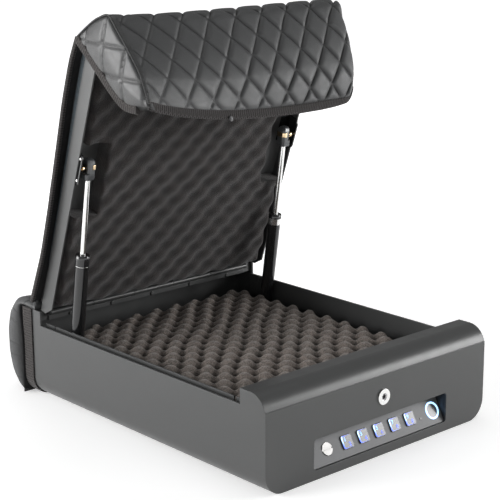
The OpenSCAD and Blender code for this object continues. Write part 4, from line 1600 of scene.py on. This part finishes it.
    def side_binding(self, side: Side) -> None:
        """The webbing that binds the top pad's side edge.

        Args:
            side: The side of the lid.
        """
        t = self.binding_t
        middle = soften([(u, v - t / 2) for u, v in self.side_bow], 2.0, 8.0)
        tape = Tape(f"{side.word}_pad_binding", across_x(side.value * (self.half - 1.1), middle),
                    across_x(0, left_normals(middle)), t + 0.6, thick=3.4, place=LID,
                    stitch_at=0.2)
        ride(tape.build(self.finishes["binding"]), "lid",
             ["pad_bindings"] if side is Side.LEFT else [])

    def gusset_binding(self, side: Side) -> None:
        """The webbing that binds a gusset's rear edge, and runs into the hem.

        Args:
            side: The flap's end.
        """
        drawn = self.drawn_in(side)
        rim = self.gusset_back(max(drawn, self.binding_end))[::-1]
        path = across_x(side.value * (SIZES.flap_half - drawn), rim)
        tape = Tape(f"{side.word}_gusset_binding", path, across_x(0, left_normals(rim)), width=9.0,
                    thick=5.2, place=FLAP, stitch_at=0.3)
        ride(tape.build(self.finishes["webbing"]), "flap")

    def hem(self) -> None:
        """The webbing under the flap's lower edge, with its snap."""
        half, r = SIZES.flap_half, self.corner
        x = np.r_[np.linspace(-half, half - r, 110), half - r + r * np.sin(
            np.linspace(0.08, 1.3, 14))]
        a, b = np.array(self.flap_over[-2]), np.array(self.flap_over[-1])
        way = (b - a) / np.linalg.norm(b - a)
        inner = np.array([way[1], -way[0]])
        turned = edge_drop(half - x, *self.end_turn)[:, None]
        rise = r - np.sqrt(np.maximum(r * r - np.maximum(x - half + r, 0) ** 2, 0))
        swing = np.interp(x, [-156, -90, 0, 60, 120, 156], [1.0, 0.6, 2.6, 3.4, 2.6, 0.5])
        edge = b + (swing - rise)[:, None] * way + (3.0 + turned) * inner
        lean = way + 0.35 * inner
        across = repeated((0, *lean), len(x))
        wide = np.interp(x, [-156, 100, 138, 156], [8.6, 9.4, 7.0, 3.0])
        tape = Tape("hem_tape", np.column_stack([x, edge]), across, wide, thick=2.8,
                    place=FLAP)
        ride(tape.build(self.finishes["binding"]), "flap", ["flap_hem"])
        self.snap(self.snap_x, b + 5.5 * way + 1.4 * inner, way, inner)

    def snap(self, x: float, middle: np.ndarray, way: np.ndarray, inner: np.ndarray) -> None:
        """The small snap on the hem.

        Args:
            x: Its place across the flap.
            middle: Its place in the side view.
            way: The flap's direction there.
            inner: The direction to the flap's back.
        """
        for name, finish, radius, high in (("snap_cap", "plastic", 3.0, 1.0),
                                           ("snap_pin", "fitting", 1.1, 1.7)):
            turn, rows = turns(28), []
            for rise, share in ((0.0, 1.0), (0.6 * high, 1.0), (0.9 * high, 0.8), (high, 0.35)):
                disc = middle + np.outer(np.sin(turn) * radius * share, way) - rise * inner
                rows.append(np.column_stack([x + np.cos(turn) * radius * share, disc]))
            piece = make_piece(name, FLAP.points(np.vstack(rows)), ring_faces(4, 28),
                               self.finishes[finish], sharp=40)
            ride(piece, "flap", ["hem_snap"] if name == "snap_cap" else [])

    def rear_wrap(self, side: Side) -> None:
        """The webbing that runs down a rear corner of the base and under its rounded edge.

        Args:
            side: The corner's side.
        """
        r, out = self.bottom_r, 0.9
        turn = np.radians(np.linspace(0, 78, 16))
        fall = np.linspace(96.5, r, 40)[:-1]
        z = np.r_[fall, r - (r + out) * np.sin(turn)]
        half = SIZES.base_half
        x = np.r_[np.full(len(fall), half + out), half - r + (r + out) * np.cos(turn)]
        path = np.column_stack([side.value * x, np.full(len(z), -5.5), z])
        tape = Tape(f"{side.word}_rear_wrap", path, repeated((0, 1, 0), len(z)), width=16.4,
                    thick=1.5, place=REAR)
        ride(tape.build(self.finishes["webbing"]), "base",
             ["rear_wraps"] if side is Side.LEFT else [])

    def lining(self) -> None:
        """The lining between the lid's plate and the pad, and its satin edge strips."""
        top = soften([(u, v - 0.4) for u, v in [*self.bow, self.nose]], 3.0, 8.0)
        low = np.column_stack([top[:, 0], np.full(len(top), 0.35)])
        side_v = np.interp(top[:, 0], *zip(*self.side_bow)) - self.binding_t - 0.5
        half, count = self.lining_half, 40
        x = np.linspace(-half, half, count)
        near = np.clip((np.abs(x) - 118) / 26, 0, 1) ** 2
        rings = []
        for t, w, v in zip(top, low, side_v):
            height = np.maximum(t[1] + (min(v, t[1]) - t[1]) * near, 0.8)
            upper = np.column_stack([x, np.full(count, t[0]), height])
            lower = np.column_stack([x[::-1], np.full(count, w[0]), np.full(count, w[1])])
            rings.append(np.vstack([upper, lower]))
        # The lining is coloured near black: painted shade under the pad.
        piece = make_piece("cover_lining_cloth", LID.points(np.vstack(rings)),
                           ring_faces(len(top), 2 * count), self.finishes["shade"], sharp=50)
        ride(piece, "lid", ["cover_lining"])
        reach = np.linspace(60, 300, 90)
        tall = np.interp(reach, [60, 130, 187, 262, 300], [0.9, 1.8, 3.6, 5.6, 5.6])
        for side in Side:
            near, far = (side.value * (half + out) for out in (0.2, 1.0))
            rings = [[(near, u, 0.4), (far, u, 0.4), (far, u, 0.4 + h), (near, u, 0.4 + h)]
                     for u, h in zip(reach, tall)]
            strip = make_piece(f"{side.word}_lining_edge", LID.points(np.vstack(rings)),
                               ring_faces(len(rings), 4), self.finishes["satin"], sharp=40)
            ride(strip, "lid")

    def hinge_roll(self) -> None:
        """The gathered leather between the rear flap and the top pad."""
        s = np.linspace(0, 1, 15)
        start, end = np.array([-20.0, 104.5]), np.array([-15.4, 109.0])
        x = np.linspace(-SIZES.base_half, SIZES.base_half, 130)
        rows = []
        for t in s:
            middle = start + (end - start) * t
            bulge = 3.4 * math.sin(math.pi * t)
            crease = 0.7 * np.sin(x * 0.21 + 2.2 * t) * math.sin(math.pi * t)
            rows.append(np.column_stack([x, middle[0] - 0.2 + 0 * x,
                                         middle[1] + 0 * x + bulge + crease]))
        grid = np.vstack(rows)
        n = len(grid)
        under = grid - np.array([0, 0, 1.8])
        faces = shell_faces(grid_quads(len(s), len(x)), n)
        quilt = np.zeros((2 * n, 3))
        piece = make_piece("hinge_leather", REAR.points(np.vstack([grid, under])), faces,
                           self.finishes["rear"], {"quilt": quilt})
        REAR.point(0, *start)
        REAR.point(0, *end)
        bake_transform(piece)
        LOG.info("piece %s bends between base and lid", piece.name)


@dataclass
class Keypad:
    """The lit keys: a light guide and two digits on each key."""

    finishes: Finishes
    key_w: float = 13.2
    key_h: float = 12.8
    pitch: float = 21.8
    middle: float = 4.5
    centre_y: float = 13.8
    face_z: float = 1.2
    keys: int = 5

    def build(self) -> None:
        """Makes the guides and the digits."""
        for k in range(self.keys):
            x = self.middle + (k - self.keys // 2) * self.pitch
            self.guide(k, x)
            pair = (str(2 * k + 1), str((2 * k + 2) % 10))
            self.digit(f"digit_{pair[0]}", k, x - 2.4, self.centre_y + 2.3, pair[0], "digit")
            self.digit(f"digit_{pair[1]}", k, x + 2.4, self.centre_y - 3.0, pair[1],
                       "digit_deep")

    def guide(self, k: int, x: float) -> None:
        """The light guide in a key's left edge and along its lower and upper edges.

        Args:
            k: The key's number from 0.
            x: The key's place across the plate.
        """
        w, h, r = self.key_w / 2 - 0.45, self.key_h / 2 - 0.45, 1.6
        corners = [(-w + r, h - r, 90), (-w + r, -h + r, 180)]
        track = [(w - 1.5, h)]
        for cx, cy, start in corners:
            track += [(cx + r * math.cos(math.radians(start + a)),
                       cy + r * math.sin(math.radians(start + a))) for a in range(0, 91, 15)]
        track.append((w - 1.5, -h))
        points = soften(track, 0.5, 0.5)
        rows, glow = [], []
        normal = left_normals(points)
        for (px, py), n in zip(points, normal):
            share = max(0.0, 1 - (px + w) / (2 * w)) ** 3.0
            wide = 0.30 + 0.55 * share
            ring = [(-wide * 0.35, -0.2), (-wide * 0.35, 0.24), (wide, 0.24), (wide, -0.2)]
            rows += [(x + px + n[0] * a, self.centre_y + py + n[1] * a, self.face_z + b)
                     for a, b in ring]
            glow += [(0.04 + share * (0.75 + 0.25 * py / h), 0, 0)] * 4
        piece = make_piece(f"key_light_{k + 1}", PLATE.points(np.array(rows)),
                           ring_faces(len(points), 4), self.finishes["rim"],
                           {"glow": np.array(glow)}, 35)
        ride(piece, f"button_{k + 1}")

    def digit(self, name: str, k: int, x: float, y: float, text: str, finish: str) -> None:
        """A lit digit on a key's face.

        Args:
            name: The piece's name.
            k: The key's number from 0.
            x: Its place across the plate.
            y: Its place up the plate.
            text: The digit.
            finish: Its finish.
        """
        curve = bpy.data.curves.new(name, "FONT")
        curve.body, curve.size, curve.extrude = text, 5.2, 0.12
        curve.align_x, curve.align_y = "CENTER", "CENTER"
        curve.offset = 0.12
        holder = bpy.data.objects.new(name + "_outline", curve)
        bpy.context.scene.collection.objects.link(holder)
        bpy.context.view_layer.update()
        shape = bpy.data.meshes.new_from_object(
            holder.evaluated_get(bpy.context.evaluated_depsgraph_get()))
        bpy.data.objects.remove(holder)
        local = np.array([tuple(v.co) for v in shape.vertices])
        faces = [tuple(p.vertices) for p in shape.polygons]
        local = local + np.array([x, y, self.face_z + 0.1])
        piece = make_piece(name, PLATE.points(local), faces, self.finishes[finish], sharp=30)
        ride(piece, f"button_{k + 1}")


@dataclass
class StrutFittings:
    """Small fittings of one gas strut that show: end fitting, ball stud, cap and lid bracket."""

    finishes: Finishes
    side: Side
    ball_u: float = 178.5
    raised: float = 2.4
    plate_x: float = 144.4
    plate_low: float = 21.0
    plate_half: float = 18.0
    rivet_v: float = 17.6
    rivet_gap: float = 12.0

    def build(self) -> None:
        """Makes the fittings."""
        place = strut_place(self.side)
        word, sign = self.side.word, self.side.value
        top = SIZES.strut_l + self.raised
        ride(self.head(place), f"{word}_piston", [f"{word}_socket"])
        stud = [(3.5, 1.7), (4.6, 1.7), (6.3, 3.2), (7.4, 3.4), (8.4, 3.4), (8.5, 2.2),
                (11.2, 2.2)]
        stud = [(sign * at, radius) for at, radius in stud]
        piece = lathe(f"{word}_ball_stud", place, "X", stud, self.finishes["gold"], (0, 0, top))
        ride(piece, f"{word}_piston")
        mouth = [(sign * 3.0, 4.3), (sign * 3.55, 4.3), (sign * 3.6, 3.9), (sign * 3.6, 1.5)]
        piece = lathe(f"{word}_ball_mouth", place, "X", mouth, self.finishes["plastic"],
                      (0, 0, top))
        ride(piece, f"{word}_piston")
        ride(self.band(place), f"{word}_piston", [f"{word}_clip"])
        left = self.side is Side.LEFT
        ride(self.bracket(), "lid", ["upper_brackets"] if left else [])
        rivets = [lathe(f"{word}_bracket_rivet_{k + 1}", LID, "X",
                        [(sign * (self.plate_x + 1.5), 1.7), (sign * (self.plate_x + 2.0), 1.5),
                         (sign * (self.plate_x + 2.3), 0.8)], self.finishes["bright"],
                        (0, self.ball_u + du, -self.rivet_v), 20)
                  for k, du in enumerate((-self.rivet_gap, self.rivet_gap))]
        for rivet in rivets:
            ride(rivet, "lid", ["bracket_rivets"] if left else [])
        cap = [(SIZES.tube_l - 4.4, 7.0), (SIZES.tube_l - 4.4, 7.35), (SIZES.tube_l - 0.9, 7.35),
               (SIZES.tube_l + 0.2, 6.6), (SIZES.tube_l + 0.5, 5.2), (SIZES.tube_l + 0.1, 3.2)]
        ride(lathe(f"{word}_tube_cap", place, "Z", cap, self.finishes["strut"]),
             f"{word}_cylinder")
        lip = [(SIZES.tube_l - 11.6, 7.0), (SIZES.tube_l - 11.6, 7.25),
               (SIZES.tube_l - 11.2, 7.25), (SIZES.tube_l - 11.2, 7.0)]
        ride(lathe(f"{word}_tube_groove", place, "Z", lip, self.finishes["bright"]),
             f"{word}_cylinder")

    def head(self, place: Place) -> bpy.types.Object:
        """The rod's end fitting: an eight-sided head, cut flat where the ball enters.

        Args:
            place: The strut's axes.

        Returns:
            The object.
        """
        sign, top = self.side.value, SIZES.strut_l + self.raised
        rings = []
        for z, outer, inner, half in ((-12.6, 4.4, 4.4, 4.4), (-11.6, 5.7, 5.7, 5.7),
                                      (-10.9, 6.0, 6.0, 6.0), (-6.2, 6.0, 6.0, 6.0),
                                      (-5.6, 5.7, 6.0, 6.0), (-5.5, 3.5, 6.0, 6.0),
                                      (5.0, 3.5, 6.0, 6.0), (7.2, 3.5, 5.6, 5.4),
                                      (9.0, 3.2, 4.4, 4.2), (10.0, 2.4, 2.6, 2.4)):
            cut = 0.36 * half
            ring = [(outer, -half + cut), (outer, half - cut), (outer - cut, half),
                    (cut - inner, half), (-inner, half - cut), (-inner, cut - half),
                    (cut - inner, -half), (outer - cut, -half)]
            rings.append([(sign * x, y, top + z) for x, y in ring])
        return make_piece(f"{self.side.word}_rod_end", place.points(np.vstack(rings)),
                          ring_faces(len(rings), 8), self.finishes["fitting"], sharp=24)

    def bracket(self) -> bpy.types.Object:
        """The lid's bracket: a plate with round corners beside the flange, and its folded foot.

        Returns:
            The object.
        """
        r, sign = 6.0, self.side.value
        outline = [(-self.plate_half, -1.6)]
        for at, start in ((-self.plate_half + r, 180), (self.plate_half - r, 270)):
            outline += [(at + r * math.cos(math.radians(start + a)),
                         -self.plate_low + r + r * math.sin(math.radians(start + a)))
                        for a in range(0, 91, 15)]
        outline.append((self.plate_half, -1.6))
        rings = [[(sign * x, self.ball_u + u, v) for u, v in outline]
                 for x in (self.plate_x, self.plate_x + 1.5)]
        foot = [[(sign * x, self.ball_u + u, v) for u, v in (
            (-14, -1.6), (14, -1.6), (14, -3.1), (-14, -3.1))]
            for x in (self.plate_x - 7.0, self.plate_x + 0.2)]
        count = len(outline)
        faces = ring_faces(2, count) + [tuple(2 * count + v for v in f) for f in ring_faces(2, 4)]
        points = np.vstack([np.array(rings).reshape(-1, 3), np.array(foot).reshape(-1, 3)])
        return make_piece(f"{self.side.word}_lid_bracket", LID.points(points), faces,
                          self.finishes["strut"], sharp=30)

    def band(self, place: Place) -> bpy.types.Object:
        """The spring clip's band round the inboard side of the end fitting.

        Args:
            place: The strut's axes.

        Returns:
            The object.
        """
        sign = self.side.value
        track = [(-1.5, -6.3), (-4.2, -6.3), (-6.3, -4.2), (-6.3, 4.2), (-4.2, 6.3), (-1.5, 6.3)]
        line = soften(track, 0.4, 0.8)
        path = np.column_stack([sign * line[:, 0], line[:, 1],
                                np.full(len(line), SIZES.strut_l + self.raised + 1.2)])
        tape = Tape(f"{self.side.word}_clip_band", path, repeated((0, 0, 1), len(line)), width=5.0,
                    thick=0.6, place=place)
        return tape.build(self.finishes["gold"])


class Studio:
    """Camera, floor, sky and lamps."""

    location = (-0.9656, -1.0732, 0.5436)
    yaw, pitch, roll = 42.02, 14.64, -0.25
    focal_px, picture_px, sensor = 1466.2, 500, 36.0
    horizon, zenith, overhead = 0.62, 0.34, 0.25
    floor_reach, floor_lift = (0.35, 1.1), (0.42, 0.85)
    floor_half = 12.0
    lamps = (("lamp_left", (-2.1, 1.2, 0.62), (0, 0, 0.2), 1.7, 74),
             ("lamp_top", (0.3, 0.2, 2.8), (0, 0, 0.1), 1.6, 14),
             ("lamp_right", (1.45, -1.15, 0.5), (0.1, -0.1, 0.25), 0.8, 24))

    def build(self) -> None:
        """Sets up the whole studio."""
        self.camera()
        self.floor()
        self.sky()
        for lamp in self.lamps:
            self.lamp(*lamp)
        bpy.context.scene.view_settings.view_transform = "Standard"

    def camera(self) -> None:
        """The photograph's camera, fitted to the base's straight edges."""
        yaw, pitch, roll = (math.radians(v) for v in (self.yaw, self.pitch, self.roll))
        right0 = Vector((math.cos(yaw), -math.sin(yaw), 0))
        ahead = Vector((math.sin(yaw) * math.cos(pitch), math.cos(yaw) * math.cos(pitch),
                        -math.sin(pitch)))
        up0 = right0.cross(ahead)
        right = math.cos(roll) * right0 + math.sin(roll) * up0
        up = -math.sin(roll) * right0 + math.cos(roll) * up0
        lens = bpy.data.cameras.new("camera")
        lens.sensor_width = self.sensor
        lens.lens = self.focal_px * self.sensor / self.picture_px
        lens.clip_start, lens.clip_end = 0.05, 50
        holder = bpy.data.objects.new("camera", lens)
        turn = Matrix((right, up, -ahead)).transposed().to_4x4()
        holder.matrix_world = Matrix.Translation(Vector(self.location)) @ turn
        bpy.context.scene.collection.objects.link(holder)
        bpy.context.scene.camera = holder

    def floor(self) -> None:
        """A pale floor that shows white where no shadow falls."""
        g = Graph("studio_floor")
        seen = g.add("ShaderNodeLightPath")
        bare = g.calc("MAXIMUM", seen.outputs["Is Camera Ray"],
                      g.calc("MAXIMUM", seen.outputs["Is Glossy Ray"],
                             seen.outputs["Is Transmission Ray"]))
        reach = g.add("ShaderNodeVectorMath", operation="LENGTH")
        g.feed(reach.inputs[0], g.add("ShaderNodeTexCoord").outputs["Object"])
        lift = g.span(reach.outputs["Value"], *self.floor_reach, *self.floor_lift)
        speck = g.noise(30, 2)
        colour = g.mix(speck, (0.86, 0.86, 0.86), (0.88, 0.88, 0.88))
        g.dress(base_color=colour, roughness=0.9, specular_ior_level=0.1,
                emission_color=(1, 1, 1), emission_strength=g.times(bare, lift))
        far = self.floor_half
        points = np.array([(-far, -far, 0), (far, -far, 0), (far, far, 0), (-far, far, 0)])
        piece = make_piece("floor", points, [(0, 1, 2, 3)], g.material)

    def sky(self) -> None:
        """White where it is seen, and a soft grey that darkens overhead where it lights."""
        world = bpy.data.worlds.new("studio_sky")
        bpy.context.scene.world = world
        g = Graph("studio_sky", world)
        rays = g.add("ShaderNodeLightPath").outputs
        split = g.add("ShaderNodeSeparateXYZ")
        g.feed(split.inputs[0], g.add("ShaderNodeTexCoord").outputs["Generated"])
        mirrored = g.calc("MAXIMUM", rays["Is Glossy Ray"], rays["Is Transmission Ray"])
        shown = g.span(split.outputs[2], 0.03, 0.25, 1.0, self.overhead)
        lit = g.span(split.outputs[2], 0.0, 0.8, self.horizon, self.zenith)
        level = g.plus(g.times(mirrored, shown),
                       g.times(g.calc("SUBTRACT", 1.0, mirrored), lit))
        level = g.calc("MAXIMUM", rays["Is Camera Ray"], level)
        glow = g.add("ShaderNodeBackground")
        g.feed(glow.inputs[1], level)
        g.feed(g.add("ShaderNodeOutputWorld").inputs[0], glow.outputs[0])

    def lamp(self, name: str, place: tuple[float, float, float],
             target: tuple[float, float, float], size: float, power: float) -> None:
        """A soft square lamp.

        Args:
            name: The lamp's name.
            place: Where it stands, in metres.
            target: Where it points.
            size: Its side, in metres.
            power: Its power in watts.
        """
        data = bpy.data.lights.new(name, "AREA")
        data.shape, data.size, data.energy = "SQUARE", size, power
        holder = bpy.data.objects.new(name, data)
        holder.location = place
        way = Vector(target) - Vector(place)
        holder.rotation_euler = way.to_track_quat("-Z", "Y").to_euler()
        bpy.context.scene.collection.objects.link(holder)


def main() -> None:
    """Builds every sub-assembly in order."""
    logging.basicConfig(level=logging.INFO, format="%(name)s: %(message)s")
    Studio().build()
    finishes = Finishes()
    finishes.dress_nodes(frame["nodes"])
    TrayFoam(finishes).build()
    LidFoam(finishes).build()
    QuiltedCover(finishes).build()
    Keypad(finishes).build()
    for side in Side:
        StrutFittings(finishes, side).build()


if __name__ == "__main__":
    main()
